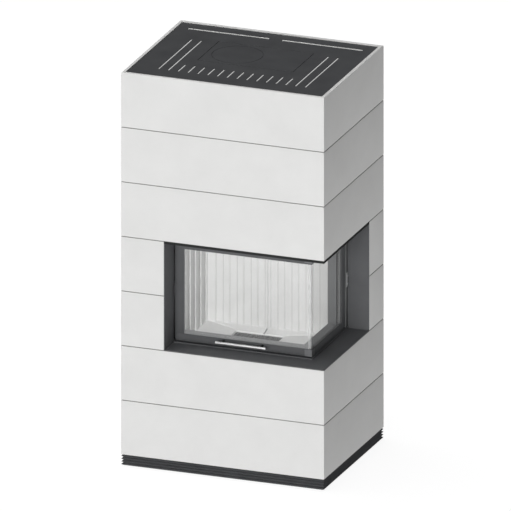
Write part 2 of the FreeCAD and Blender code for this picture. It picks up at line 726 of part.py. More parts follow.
RIM_X = inset_span(*RECESS_X, "-recess_rim")
RIM_Y = inset_span(*RECESS_Y, "-recess_rim")
funnel = doc.addObject("Part::Wedge", "hearth_funnel")
funnel.Placement = FreeCAD.Placement(FreeCAD.Vector(), FreeCAD.Rotation(FreeCAD.Vector(1, 0, 0), 90))
for name, text in {
        "Ymin": HEARTH_RIM, "Ymax": HEARTH_EDGE,
        "Xmin": RIM_X[0], "Xmax": RIM_X[1], "Zmin": f"-({RIM_Y[1]})", "Zmax": f"-({RIM_Y[0]})",
        "X2min": LINING_LEFT, "X2max": LEDGE_X,
        "Z2min": f"-({LINING_BACK})", "Z2max": f"-({LEDGE_Y})"}.items():
    bind(funnel, name, text)
bowl = cut(
    "hearth_bowl",
    fuse("hearth_mass",
         box("hearth_block", (LINING_LEFT, BOX_RIGHT), (BOX_FRONT, LINING_BACK), (FLOOR, HEARTH_EDGE)),
         box("hearth_front_step", (LINING_LEFT, BOX_RIGHT), (BOX_FRONT, LEDGE_Y), (HEARTH_EDGE, LEDGE_UNDER)),
         box("hearth_side_step", (LEDGE_X, BOX_RIGHT), (LEDGE_Y, LINING_BACK), (HEARTH_EDGE, LEDGE_UNDER))),
    funnel,
    box("hearth_recess", RECESS_X, RECESS_Y, (FLOOR, HEARTH_RIM)))

FRONT_LEFT = [(RECESS_X[0], RECESS_Y[0]), (RIM_X[0], RIM_Y[0]), (LINING_LEFT, LEDGE_Y)]
FRONT_RIGHT = [(RECESS_X[1], RECESS_Y[0]), (RIM_X[1], RIM_Y[0]), (LEDGE_X, LEDGE_Y), (BOX_RIGHT, BOX_FRONT)]
BACK_LEFT = [(RECESS_X[0], RECESS_Y[1]), (RIM_X[0], RIM_Y[1]), (LINING_LEFT, LINING_BACK)]
BACK_RIGHT = [(RECESS_X[1], RECESS_Y[1]), (RIM_X[1], RIM_Y[1]), (LEDGE_X, LINING_BACK)]
SECTORS = {
    "hearth_left": FRONT_LEFT + BACK_LEFT[::-1],
    "hearth_front": FRONT_LEFT + [(LINING_LEFT, BOX_FRONT)] + FRONT_RIGHT[::-1],
    "hearth_right": FRONT_RIGHT + [(BOX_RIGHT, LINING_BACK)] + BACK_RIGHT[::-1],
    "hearth_back_left": BACK_LEFT + [(MIDDLE_X, LINING_BACK), (MIDDLE_X, RECESS_Y[1])],
    "hearth_back_right": BACK_RIGHT + [(MIDDLE_X, LINING_BACK), (MIDDLE_X, RECESS_Y[1])],
}
for label, outline in SECTORS.items():
    slab = doc.addObject("Part::Common", label + "_slab")
    slab.Base = bowl
    slab.Tool = prism(label + "_sector", outline, FLOOR, LEDGE_UNDER)
    node(slab, label)


# Grate and ash pan

GRATE_PITCH = f"(({GRATE_X[1]} - ({GRATE_X[0]}) - 2 * grate_frame) / {GRATE_SLOTS - 0.5})"
grate_slots = []
for number in range(GRATE_SLOTS):
    left = f"({GRATE_X[0]} + grate_frame + {number} * {GRATE_PITCH})"
    grate_slots.append(box(f"grate_slot_{number}", span(left, f"{GRATE_PITCH} / 2"),
                           inset_span(*GRATE_Y, "grate_frame"), span(FLOOR, "grate_height")))
grate_block = box("grate_block", GRATE_X, GRATE_Y, span(FLOOR, "grate_height"))
node(cut("grate_slotted", grate_block, *grate_slots), "grate")
PAN_X = inset_span(*THROAT_X, "ash_pan_clearance")
PAN_Y = inset_span(*THROAT_Y, "ash_pan_clearance")
node(cut("pan_hollowed", box("pan_block", PAN_X, PAN_Y, span(ASH_FLOOR, "ash_pan_height")),
         box("pan_hollow", inset_span(*PAN_X, "ash_pan_steel"), inset_span(*PAN_Y, "ash_pan_steel"),
             (f"{ASH_FLOOR} + ash_pan_steel", f"{ASH_FLOOR} + ash_pan_height"))), "ash_pan")


# Combustion air spigot and its throttle flap

THROTTLE_RADIUS = "(spigot_diameter / 2 - spigot_wall)"
SPIGOT_TOP = PLENUM_LOW
spigot = place(revolve("spigot", [
    (THROTTLE_RADIUS, "0"), ("spigot_diameter / 2", "0"), ("spigot_diameter / 2", "spigot_length"),
    ("spigot_diameter / 2 + throttle_wall", "spigot_length"),
    ("spigot_diameter / 2 + throttle_wall", "spigot_length + throttle_length"),
    (THROTTLE_RADIUS, "spigot_length + throttle_length")]),
    SPIGOT_X, SPIGOT_Y, f"{SPIGOT_TOP} - spigot_length - throttle_length")
FLAP_Z = f"({SPIGOT_TOP} - throttle_length / 2)"
SHAFT_REACH = "(spigot_diameter / 2 + throttle_wall + lever_gap)"
node(cut("spigot_drilled", spigot,
         rod("shaft_hole", "flap_shaft / 2 + shaft_clearance", f"2 * {SHAFT_REACH}",
             f"{SPIGOT_X} - {SHAFT_REACH}", SPIGOT_Y, FLAP_Z, ALONG_X)), "air_spigot")
LEVER_X = span(f"({SPIGOT_X} + {SHAFT_REACH})", "flap_thickness * 2")
node(fuse("flap",
          rod("flap_disc", f"{THROTTLE_RADIUS} - flap_clearance", "flap_thickness",
              SPIGOT_X, SPIGOT_Y, f"{FLAP_Z} - flap_thickness / 2"),
          rod("flap_spindle", "flap_shaft / 2", f"2 * {SHAFT_REACH} + flap_thickness * 2",
              f"{SPIGOT_X} - {SHAFT_REACH}", SPIGOT_Y, FLAP_Z, ALONG_X),
          box("flap_handle", LEVER_X, (f"{SPIGOT_Y} - flap_lever", f"{SPIGOT_Y} + lever_width / 2"),
              (f"{FLAP_Z} - lever_width / 2", f"{FLAP_Z} + lever_width / 2"))), "air_flap")


# Door

REBATE_Y = f"({DOOR_FRONT} + frame_lip)"
REBATE_X = f"({DOOR_SIDE} - frame_lip)"
REBATE_LEFT = f"({SIGHT_LEFT} - glass_cover)"
REBATE_REAR = f"({SIGHT_REAR} + glass_cover)"
REBATE_Z = (f"({SIGHT_BOTTOM} - glass_cover)", f"({SIGHT_TOP} + glass_cover)")
DOOR_Z = {
    "bottom": (DOOR_BOTTOM, SIGHT_BOTTOM),
    "middle": (SIGHT_BOTTOM, SIGHT_TOP),
    "top": (SIGHT_TOP, DOOR_TOP),
}
DOOR_BARS = {
    "bottom_front": ((DOOR_LEFT, DOOR_SIDE), (DOOR_FRONT, DOOR_INNER_Y), "bottom"),
    "bottom_side": ((DOOR_INNER_X, DOOR_SIDE), (DOOR_INNER_Y, DOOR_REAR), "bottom"),
    "top_front": ((DOOR_LEFT, DOOR_SIDE), (DOOR_FRONT, DOOR_INNER_Y), "top"),
    "top_side": ((DOOR_INNER_X, DOOR_SIDE), (DOOR_INNER_Y, DOOR_REAR), "top"),
    "left_stile": ((DOOR_LEFT, SIGHT_LEFT), (DOOR_FRONT, DOOR_INNER_Y), "middle"),
    "rear_stile": ((DOOR_INNER_X, DOOR_SIDE), (SIGHT_REAR, DOOR_REAR), "middle"),
}
front_rebate = box("front_rebate", (REBATE_LEFT, REBATE_X), (REBATE_Y, DOOR_INNER_Y), REBATE_Z)
side_rebate = box("side_rebate", (DOOR_INNER_X, REBATE_X), (REBATE_Y, REBATE_REAR), REBATE_Z)
GROOVE_Z = span(f"({DOOR_BOTTOM} + rail_groove_rise)", "rail_groove_width")
front_groove = box("front_groove", (DOOR_LEFT, DOOR_SIDE), span(DOOR_FRONT, "rail_groove_depth"), GROOVE_Z)
side_groove = box("side_groove", (f"{DOOR_SIDE} - rail_groove_depth", DOOR_SIDE),
                  (DOOR_FRONT, DOOR_REAR), GROOVE_Z)
rebate = fuse("door_cuts", fuse("glass_rebate", front_rebate, side_rebate),
              fuse("rail_groove", front_groove, side_groove))
node(group("door_bars", *[cut(name + "_rebated", box(name, x, y, DOOR_Z[level]), rebate)
                          for name, (x, y, level) in DOOR_BARS.items()]), "door_frame")

PANE_Z = inset_span(*REBATE_Z, "glass_clearance")
PANE_Y = span(REBATE_Y, "glass_thickness")
PANE_X = (f"({REBATE_X} - glass_thickness)", REBATE_X)
node(box("front_pane", (f"{REBATE_LEFT} + glass_clearance", REBATE_X), PANE_Y, PANE_Z), "glass_front")
node(box("side_pane", PANE_X, (f"{PANE_Y[1]} + glass_clearance", f"{REBATE_REAR} - glass_clearance"), PANE_Z),
     "glass_side")
STRIP_X = PANE_X[0]
STRIP_Y = f"({PANE_Y[1]} + glass_clearance)"
node(prism("corner_angle", [
    (STRIP_X, PANE_Y[1]), (STRIP_X, f"{STRIP_Y} + corner_strip_leg"),
    (f"{STRIP_X} - corner_strip_sheet", f"{STRIP_Y} + corner_strip_leg"),
    (f"{STRIP_X} - corner_strip_sheet", f"{PANE_Y[1]} + corner_strip_sheet"),
    (f"{STRIP_X} - corner_strip_leg", f"{PANE_Y[1]} + corner_strip_sheet"),
    (f"{STRIP_X} - corner_strip_leg", PANE_Y[1])], SIGHT_BOTTOM, SIGHT_TOP), "corner_strip")

CLIP_Y = span(PANE_Y[1], "retainer_thickness")
CLIP_X = (f"({PANE_X[0]} - retainer_thickness)", PANE_X[0])
CLIP_LOW = (f"{REBATE_Z[0]} + glass_clearance", SIGHT_BOTTOM)
CLIP_HIGH = (SIGHT_TOP, f"{REBATE_Z[1]} - glass_clearance")
CLIP_FRONT = (f"{REBATE_LEFT} + glass_clearance", CLIP_X[0])
CLIP_SIDE = (CLIP_Y[1], f"{REBATE_REAR} - glass_clearance")
node(group(
    "retainers",
    box("clip_bottom_front", CLIP_FRONT, CLIP_Y, CLIP_LOW),
    box("clip_top_front", CLIP_FRONT, CLIP_Y, CLIP_HIGH),
    box("clip_bottom_side", CLIP_X, CLIP_SIDE, CLIP_LOW),
    box("clip_top_side", CLIP_X, CLIP_SIDE, CLIP_HIGH),
    box("clip_left", (f"{REBATE_LEFT} + glass_clearance", SIGHT_LEFT), CLIP_Y, (SIGHT_BOTTOM, SIGHT_TOP)),
    box("clip_rear", CLIP_X, (SIGHT_REAR, f"{REBATE_REAR} - glass_clearance"), (SIGHT_BOTTOM, SIGHT_TOP))),
    "glass_retainers")

ROPE_Y = span(DOOR_INNER_Y, "seal_thickness")
ROPE_X = (f"({DOOR_INNER_X} - seal_thickness)", DOOR_INNER_X)
ROPE_LOW = span(f"({DOOR_BOTTOM} + seal_inset)", "seal_width")
ROPE_HIGH = (f"({DOOR_TOP} - seal_inset - seal_width)", f"({DOOR_TOP} - seal_inset)")
ROPE_LEFT = span(f"({DOOR_LEFT} + seal_left_inset)", "seal_width")
ROPE_REAR = (f"({DOOR_REAR} - seal_inset - seal_width)", f"({DOOR_REAR} - seal_inset)")
node(group(
    "ropes",
    box("rope_bottom_front", (ROPE_LEFT[0], DOOR_INNER_X), ROPE_Y, ROPE_LOW),
    box("rope_top_front", (ROPE_LEFT[0], DOOR_INNER_X), ROPE_Y, ROPE_HIGH),
    box("rope_bottom_side", ROPE_X, (ROPE_Y[1], ROPE_REAR[1]), ROPE_LOW),
    box("rope_top_side", ROPE_X, (ROPE_Y[1], ROPE_REAR[1]), ROPE_HIGH),
    box("rope_left", ROPE_LEFT, ROPE_Y, (ROPE_LOW[1], ROPE_HIGH[0])),
    box("rope_rear", ROPE_X, ROPE_REAR, (ROPE_LOW[1], ROPE_HIGH[0]))), "door_seals")


def corner_bracket(name, low):
    return prism(name, [
        (f"{DOOR_SIDE} - bracket_leg", DOOR_FRONT),
        (f"{DOOR_SIDE} - bracket_leg", f"{DOOR_FRONT} - bracket_sheet"),
        (f"{DOOR_SIDE} + bracket_sheet", f"{DOOR_FRONT} - bracket_sheet"),
        (f"{DOOR_SIDE} + bracket_sheet", f"{DOOR_FRONT} + bracket_leg"),
        (DOOR_SIDE, f"{DOOR_FRONT} + bracket_leg"), (DOOR_SIDE, DOOR_FRONT)], low, f"{low} + bracket_height")


node(group("brackets", corner_bracket("bracket_low", DOOR_BOTTOM),
           corner_bracket("bracket_high", f"({DOOR_TOP} - bracket_height)")), "corner_brackets")

HANDLE_X = f"(({DOOR_LEFT} + {DOOR_SIDE}) / 2)"
HANDLE_Y = f"({DOOR_FRONT} - handle_standoff)"
HANDLE_Z = f"({DOOR_BOTTOM} + handle_rise)"
grip = doc.addObject("PartDesign::Body", "grip")
bar_profile = circles(grip, "grip_profile", "handle_diameter / 2", [(HANDLE_Y, HANDLE_Z)],
                      f"{HANDLE_X} - handle_length / 2", "YZ_Plane")
grip_pad = pad(grip, bar_profile, "handle_length")
doc.recompute()
rounding = grip.newObject("PartDesign::Fillet", "grip_rounding")
rounding.Base = (grip_pad, [f"Face{i}" for i, face in enumerate(grip_pad.Shape.Faces, 1)
                            if face.Surface.TypeId == "Part::GeomPlane"])
bind(rounding, "Radius", "handle_edge")
node(grip, "handle_bar")
stubs = [rod(f"handle_stub_{side}", "handle_post_diameter / 2", "handle_standoff",
             f"{HANDLE_X} {sign} handle_spacing / 2", HANDLE_Y, HANDLE_Z, ALONG_Y)
         for side, sign in (("left", "-"), ("right", "+"))]
node(group("handle_stubs", *[cut(stub.Name + "_saddled", stub, grip) for stub in stubs]), "handle_posts")


# Lift: rails, carriages, chains, sprockets and counterweights
# The left rail lies along X behind the left cheek, the rear rail along Y behind the rear stile.

RAIL_LOW = f"({DOOR_MIDDLE} - carriage_length / 2 - rail_low_margin)"
RAIL_HIGH = f"({DOOR_MIDDLE} + carriage_length / 2 + lift_travel + rail_high_margin)"
RAIL_Y = f"(({DOOR_FRONT} + {DOOR_INNER_Y}) / 2 - rail_stand_off / 2)"
RAIL_X = f"(({DOOR_SIDE} + {DOOR_INNER_X}) / 2)"
LEFT_MOUTH = f"({DOOR_LEFT} - sheet_steel - door_gap)"
REAR_MOUTH = f"({DOOR_REAR} + rail_stand_off)"
AXLE_HIGH = f"({RAIL_HIGH} + sprocket_gap)"
AXLE_LOW = f"({RAIL_LOW} - sprocket_gap)"
CHAIN_DEPTH = "(rail_depth - chain_inset)"


def left_point(depth, across):
    return f"{LEFT_MOUTH} - ({depth})", f"{RAIL_Y} + ({across})"


def rear_point(depth, across):
    return f"{RAIL_X} - ({across})", f"{REAR_MOUTH} + ({depth})"


def side_box(name, point, depth, across, z):
    """A block given by its depth into a rail and its reach across it."""
    (x1, y1), (x2, y2) = point(depth[0], across[0]), point(depth[1], across[1])
    return box(name, (x2, x1), (y1, y2), z)


def rail(side, point):
    """A lipped channel that is open towards the door."""
    half = "rail_width / 2"
    lip = "(rail_width / 2 - rail_steel - rail_lip)"
    inner = "(rail_width / 2 - rail_steel)"
    outline = [
        point("0", f"-{lip}"), point("0", f"-{half}"),
        point("rail_depth", f"-{half}"), point("rail_depth", half),
        point("0", half), point("0", lip), point("rail_steel", lip), point("rail_steel", inner),
        point("rail_depth - rail_steel", inner), point("rail_depth - rail_steel", f"-{inner}"),
        point("rail_steel", f"-{inner}"), point("rail_steel", f"-{lip}")]
    return prism(f"{side}_rail", outline, RAIL_LOW, RAIL_HIGH)


LUG_HEIGHTS = (f"({RAIL_LOW} + carriage_length / 2)", f"({FIRE_TOP} + hood_height / 2)")
left_lugs = [box(f"left_lug_{number}", (f"{OUTER_LEFT} + box_steel", f"{OUTER_LEFT} + stand_tube / 2"),
                 (f"{RAIL_Y} + rail_width / 2", SEAL_Y), span(z, "stand_tube"))
             for number, z in enumerate(LUG_HEIGHTS)]
rear_lugs = [box(f"rear_lug_{number}", (SEAL_X, f"{RAIL_X} - rail_width / 2"),
                 (f"{REAR_MOUTH} + rail_steel", OUTER_BACK), span(z, "stand_tube"))
             for number, z in enumerate(LUG_HEIGHTS)]
node(group("rails", fuse("left_rail_lugged", rail("left", left_point), *left_lugs),
           fuse("rear_rail_lugged", rail("rear", rear_point), *rear_lugs)), "guide_rails")

CHAIN_HALF = "(chain_width / 2 + chain_clearance)"
CHAIN_HOLE_DEPTH = (f"{CHAIN_DEPTH} - {CHAIN_HALF}", f"{CHAIN_DEPTH} + {CHAIN_HALF}")
CHAIN_HOLE_ACROSS = ("-(chain_height / 2 + chain_clearance)", "chain_height / 2 + chain_clearance")
SHOE = "(rail_width / 2 - rail_steel - carriage_clearance)"
ARM = "(rail_width / 2 - rail_steel - rail_lip - arm_clearance)"
ARM_Z = (f"{DOOR_MIDDLE} - arm_height / 2", f"{DOOR_MIDDLE} + arm_height / 2")
SHOE_Z = (f"{DOOR_MIDDLE} - carriage_length / 2", f"{DOOR_MIDDLE} + carriage_length / 2")
SHOE_DEPTH = span("(rail_steel + carriage_clearance)", "carriage_depth")
CLAMP_DEPTH = (SHOE_DEPTH[1], f"{CHAIN_DEPTH} + chain_width / 2 + rail_steel")


def carriage(label, point, reach):
    """A shoe in the rail, an arm to the door and a clamp on the chain."""
    across = (f"-{SHOE}", SHOE)
    solid = fuse(
        label + "_whole",
        side_box(label + "_shoe", point, SHOE_DEPTH, across, SHOE_Z),
        side_box(label + "_arm", point, (f"-{reach}", SHOE_DEPTH[0]), (f"-{ARM}", ARM), ARM_Z),
        side_box(label + "_clamp", point, CLAMP_DEPTH, across, ARM_Z))
    return cut(label + "_clamped", solid,
               side_box(label + "_way", point, CHAIN_HOLE_DEPTH, CHAIN_HOLE_ACROSS, ARM_Z))


node(group("carriages", carriage("left_carriage", left_point, "(sheet_steel + door_gap)"),
           carriage("rear_carriage", rear_point, "rail_stand_off")), "door_carriages")

LEFT_AXIS = left_point(CHAIN_DEPTH, "sprocket_radius")
REAR_AXIS = rear_point(CHAIN_DEPTH, "sprocket_radius")
AXES = {"left": (left_point, ALONG_X, LEFT_AXIS), "rear": (rear_point, ALONG_Y, REAR_AXIS)}


def disc(name, radius, width, side, z):
    """A cylinder about a sprocket axis, centred on the chain."""
    _, rotation, (x, y) = AXES[side]
    if side == "left":
        return rod(name, radius, width, f"{x} - ({width}) / 2", y, z, rotation)
    return rod(name, radius, width, x, f"{y} - ({width}) / 2", z, rotation)


def loop(name, side, radius, width):
    """A long round-ended block about both sprockets of a side."""
    point = AXES[side][0]
    half = f"({width}) / 2"
    web = side_box(name + "_web", point, (f"{CHAIN_DEPTH} - {half}", f"{CHAIN_DEPTH} + {half}"),
                   (f"sprocket_radius - ({radius})", f"sprocket_radius + ({radius})"), (AXLE_LOW, AXLE_HIGH))
    return fuse(name, web, disc(name + "_high", radius, width, side, AXLE_HIGH),
                disc(name + "_low", radius, width, side, AXLE_LOW))


def chain(side):
    """Two rows of link plates, with the sprocket teeth between them."""
    outside = loop(f"{side}_outside", side, "sprocket_radius + chain_height / 2", "chain_width")
    inside = loop(f"{side}_inside", side, "sprocket_radius - chain_height / 2", "chain_width")
    middle = loop(f"{side}_middle", side, "sprocket_radius + chain_height", "chain_width - 2 * chain_plate")
    return cut(f"{side}_band", outside, inside, middle)


node(group("chains", chain("left"), chain("rear")), "lift_chains")

HUB = "(sprocket_radius - chain_height / 2 - chain_clearance)"
TOOTH_WIDTH = "(chain_width - 2 * chain_plate - 2 * chain_clearance)"
TIP = "(sprocket_radius + sprocket_tooth)"


def sprocket(label, side, z):
    """A toothed disc on a hub, turned at its own centre and then set on its axis."""
    body = doc.addObject("PartDesign::Body", label)
    pad(body, circles(body, label + "_hub", HUB, [("0", "0")], "-chain_width / 2"), "chain_width")
    pad(body, circles(body, label + "_teeth", TIP, [("0", "0")], f"-{TOOTH_WIDTH} / 2"), TOOTH_WIDTH)
    gap_centre = ("sprocket_radius + sprocket_tooth / 2", "0")
    gap = pocket(body, circles(body, label + "_gap", "sprocket_tooth", [gap_centre]))
    ring_of_gaps = body.newObject("PartDesign::PolarPattern", label + "_gaps")
    ring_of_gaps.Originals = [gap]
    ring_of_gaps.Axis = (next(item for item in body.Origin.OriginFeatures if item.Role == "Z_Axis"), [""])
    ring_of_gaps.Angle = 360
    bind(ring_of_gaps, "Occurrences", "sprocket_teeth")
    body.Tip = ring_of_gaps
    pocket(body, circles(body, label + "_bore", "axle_diameter / 2 + shaft_clearance", [("0", "0")]))
    _, rotation, (x, y) = AXES[side]
    return node(place(body, x, y, z, rotation), label)


sprocket("left_upper_sprocket", "left", AXLE_HIGH)
sprocket("left_lower_sprocket", "left", AXLE_LOW)
sprocket("rear_upper_sprocket", "rear", AXLE_HIGH)
sprocket("rear_lower_sprocket", "rear", AXLE_LOW)


def axle_bracket(side, level, z, plate_z):
    """A plate on the rail's back with the sprocket's axle."""
    point, rotation, _ = AXES[side]
    plate = side_box(f"{side}_{level}_plate", point, ("rail_depth", "rail_depth + bracket_plate"),
                     ("-rail_width / 2", "sprocket_radius + bracket_margin"), plate_z)
    reach = "chain_inset + chain_width / 2 + rail_steel"
    pin_x, pin_y = point("rail_depth", "sprocket_radius")
    if side == "rear":
        pin_y = f"{pin_y} - ({reach})"
    pin = rod(f"{side}_{level}_axle", "axle_diameter / 2", reach, pin_x, pin_y, z, rotation)
    return fuse(f"{side}_{level}_bracket", plate, pin)


HIGH_PLATE = (f"{RAIL_HIGH} - bracket_overlap", f"{AXLE_HIGH} + bracket_margin")
LOW_PLATE = (f"{AXLE_LOW} - bracket_margin", f"{RAIL_LOW} + bracket_overlap")
LEVELS = (("high", AXLE_HIGH, HIGH_PLATE), ("low", AXLE_LOW, LOW_PLATE))
node(group("axle_brackets", *[axle_bracket(side, *level) for side in AXES for level in LEVELS]),
     "sprocket_brackets")

WEIGHT_Z = (f"({RAIL_LOW} + bracket_overlap + weight_gap + lift_travel)",
            f"({RAIL_HIGH} - bracket_overlap - weight_gap)")
WEIGHT_MIDDLE = f"(({WEIGHT_Z[0]} + {WEIGHT_Z[1]}) / 2)"
LUG_Z = (f"{WEIGHT_MIDDLE} - weight_lug / 2", f"{WEIGHT_MIDDLE} + weight_lug / 2")
RUN = "2 * sprocket_radius"


def counterweight(label, point):
    """A cast block that hangs on the chain's other run by a clamped lug."""
    block = side_box(label + "_block", point, ("rail_depth", "rail_depth + weight_width"),
                     (f"{RUN} - weight_length / 2", f"{RUN} + weight_length / 2"), WEIGHT_Z)
    lug = side_box(label + "_lug", point, (f"{CHAIN_DEPTH} - chain_width", "rail_depth"),
                   (f"{RUN} - 2 * chain_height", f"{RUN} + 2 * chain_height"), LUG_Z)
    way = side_box(label + "_way", point, CHAIN_HOLE_DEPTH,
                   tuple(f"{RUN} + ({edge})" for edge in CHAIN_HOLE_ACROSS), LUG_Z)
    return node(cut(label + "_clamped", fuse(label + "_whole", block, lug), way), label)


counterweight("left_counterweight", left_point)
counterweight("rear_counterweight", rear_point)


# Slotted cover with its flue panel

COVER_TOP = f"({TOP} - cover_recess)"
COVER_LOW = f"({COVER_TOP} - cover_thickness)"
COVER_Z = (COVER_LOW, COVER_TOP)
COVER_X = inset_span(LEFT, RIGHT, "(rim_width + cover_clearance)")
COVER_Y = inset_span(FRONT, BACK, "(rim_width + cover_clearance)")
SLOT_COUNT = SLOTS_BETWEEN + 2 * SLOTS_PER_SIDE
REAR_SLOT_Y = (f"({BACK} - rear_slot_inset - rear_slot_width)", f"({BACK} - rear_slot_inset)")
PANEL_X = ("(-panel_width / 2)", "(panel_width / 2)")
PANEL_Y = (f"({BACK} - panel_from_back - panel_length)", f"({BACK} - panel_from_back)")
SLOT_FRONT = f"({FRONT} + slot_front)"
SHORT_SLOT_Y = (SLOT_FRONT, f"({PANEL_Y[0]} - slot_panel_gap)")
LONG_SLOT_Y = (SLOT_FRONT, f"({BACK} - slot_rear)")
openings = [box("panel_opening", PANEL_X, PANEL_Y, COVER_Z)]
for number in range(SLOT_COUNT):
    is_long = number < SLOTS_PER_SIDE or number >= SLOT_COUNT - SLOTS_PER_SIDE
    left = f"(({number} - {(SLOT_COUNT - 1) / 2}) * slot_pitch - slot_width / 2)"
    openings.append(box(f"slot_{number}", span(left, "slot_width"),
                        LONG_SLOT_Y if is_long else SHORT_SLOT_Y, COVER_Z))
REAR_SLOTS = {"left": "(-rear_slot_bridge / 2 - rear_slot_length)", "right": "(rear_slot_bridge / 2)"}
for side, left in REAR_SLOTS.items():
    openings.append(box(f"rear_slot_{side}", span(left, "rear_slot_length"), REAR_SLOT_Y, COVER_Z))
seat_frame = cut(
    "panel_seat_frame",
    box("panel_frame_outer", inset_span(*PANEL_X, "(panel_seat - panel_frame)"),
        inset_span(*PANEL_Y, "(panel_seat - panel_frame)"), (f"{COVER_LOW} - panel_frame_steel", COVER_LOW)),
    box("panel_frame_inner", inset_span(*PANEL_X, "panel_seat"), inset_span(*PANEL_Y, "panel_seat"),
        (f"{COVER_LOW} - panel_frame_steel", COVER_LOW)))
cover_sheet = cut("cover_slotted", box("cover_sheet", COVER_X, COVER_Y, COVER_Z), *openings)
node(fuse("cover_welded", cover_sheet, seat_frame), "cover_plate")

FIELD = f"({SLOT_COUNT - 1} * slot_pitch / 2 + slot_width / 2 + screen_margin)"
SIDE_FIELD = f"({(SLOT_COUNT - 1) / 2 - SLOTS_PER_SIDE + 1} * slot_pitch - slot_width / 2 - screen_margin)"
SCREEN_Z = (f"{COVER_LOW} - screen_steel", COVER_LOW)
FIELD_Y = inset_span(*SHORT_SLOT_Y, "-screen_margin")
SIDE_FIELD_Y = (FIELD_Y[1], f"{LONG_SLOT_Y[1]} + screen_margin")
REAR_FIELD = "(rear_slot_bridge / 2 + rear_slot_length)"
node(group(
    "screens",
    box("screen_front", (f"-{FIELD}", FIELD), FIELD_Y, SCREEN_Z),
    box("screen_left", (f"-{FIELD}", f"-{SIDE_FIELD}"), SIDE_FIELD_Y, SCREEN_Z),
    box("screen_right", (SIDE_FIELD, FIELD), SIDE_FIELD_Y, SCREEN_Z),
    box("screen_rear", (f"-{REAR_FIELD}", REAR_FIELD), inset_span(*REAR_SLOT_Y, "-screen_margin"), SCREEN_Z)),
    "vent_screens")

hole_ring = cut("flue_ring_turned",
                rod("flue_ring_outer", "flue_hole / 2 + flue_ring", "flue_ring_steel", FLUE_X, FLUE_Y,
                    f"{COVER_LOW} - flue_ring_steel"),
                rod("flue_ring_inner", "flue_hole / 2 - flue_seat", "flue_ring_steel", FLUE_X, FLUE_Y,
                    f"{COVER_LOW} - flue_ring_steel"))
panel_blank = box("panel_sheet", inset_span(*PANEL_X, "panel_clearance"),
                  inset_span(*PANEL_Y, "panel_clearance"), COVER_Z)
panel_sheet = cut("panel_holed", panel_blank,
                  rod("flue_hole_tool", "flue_hole / 2", "cover_thickness", FLUE_X, FLUE_Y, COVER_LOW))
node(fuse("panel_welded", panel_sheet, hole_ring), "flue_panel")
node(rod("disc_sheet", "flue_hole / 2 - panel_clearance", "cover_thickness", FLUE_X, FLUE_Y, COVER_LOW),
     "flue_disc")


# Check, then write every sub-part

doc.recompute()
for item in doc.Objects:
    if "Invalid" in item.State or "Error" in item.State:
        raise RuntimeError(f"{item.Name} ({item.Label}) failed: {item.State}")
for item in nodes:
    if item.Shape.isNull() or not item.Shape.isValid():
        raise RuntimeError(f"{item.Label} has no valid shape")
os.makedirs("parts", exist_ok=True)
for item in nodes:
    item.Shape.exportStep(f"parts/{item.Label}.step")
    print(f"{item.Label}: {len(item.Shape.Solids)} solids, {item.Shape.Volume / 1000:.1f} cm3")
print(len(nodes), "nodes")
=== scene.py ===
# %% [markdown]
# # A modular corner fireplace, dressed in Blender
# The solids of this fireplace come from a CAD model: seven cast blocks, a steel insert and a
# lifting corner door. In this lesson we keep those solids as a fixed frame, ease their edges, and
# give every surface the finish that the real material has. The camera comes first, because every
# later choice is judged through it.

# %% Load the frame
import json
import math

import bmesh
import bpy
from mathutils import Matrix, Vector


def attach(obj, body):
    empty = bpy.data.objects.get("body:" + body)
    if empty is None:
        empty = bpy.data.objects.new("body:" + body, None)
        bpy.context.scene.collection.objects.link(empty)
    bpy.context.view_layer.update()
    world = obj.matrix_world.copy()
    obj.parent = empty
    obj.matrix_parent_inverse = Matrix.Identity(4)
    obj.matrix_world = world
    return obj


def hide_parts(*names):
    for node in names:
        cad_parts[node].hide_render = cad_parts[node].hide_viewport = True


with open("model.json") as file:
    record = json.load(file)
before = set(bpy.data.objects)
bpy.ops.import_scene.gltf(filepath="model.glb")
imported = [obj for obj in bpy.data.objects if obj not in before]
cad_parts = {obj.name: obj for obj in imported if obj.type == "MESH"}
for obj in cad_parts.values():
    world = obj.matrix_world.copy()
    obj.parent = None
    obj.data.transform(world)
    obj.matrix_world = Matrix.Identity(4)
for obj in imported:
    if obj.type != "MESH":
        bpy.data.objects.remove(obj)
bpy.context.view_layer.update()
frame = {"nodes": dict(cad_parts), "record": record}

# %% [markdown]
# ## The camera
# The picture is an engineering view without perspective: parallel edges stay parallel. An
# orthographic camera gives that. Its three directions are written out as a matrix, which is exact,
# where an aim-at helper would only come near.

# %% Set up the parallel camera
VIEW_RIGHT = Vector((0.935414, 0.353553, 0.0))
VIEW_UP = Vector((-0.117851, 0.311805, 0.942809))
VIEW_BACK = Vector((0.333333, -0.881917, 0.333333))
AIM = VIEW_RIGHT * 0.0132 + VIEW_UP * 0.8141
PICTURE_WIDTH = 2.1182
CAMERA_DISTANCE = 6.0

lens = bpy.data.cameras.new("parallel_view")
lens.type = "ORTHO"
lens.ortho_scale = PICTURE_WIDTH
lens.clip_end = 50.0
turn = Matrix((VIEW_RIGHT, VIEW_UP, VIEW_BACK)).transposed().to_4x4()
camera = bpy.data.objects.new("camera", lens)
camera.matrix_world = Matrix.Translation(AIM + VIEW_BACK * CAMERA_DISTANCE) @ turn
bpy.context.scene.collection.objects.link(camera)
bpy.context.scene.camera = camera
print("picture width in metres:", lens.ortho_scale)

# %% [markdown]
# ## Small tools
# Colours are easiest to read as the hex values of a paint chart, but a shader works in linear
# light, so one function converts them. Patterns are set by their real size in millimetres. The
# other tools add a shader node, feed its inputs and set the two stops of a colour ramp, so that a
# finish below reads like a list of what the eye sees.

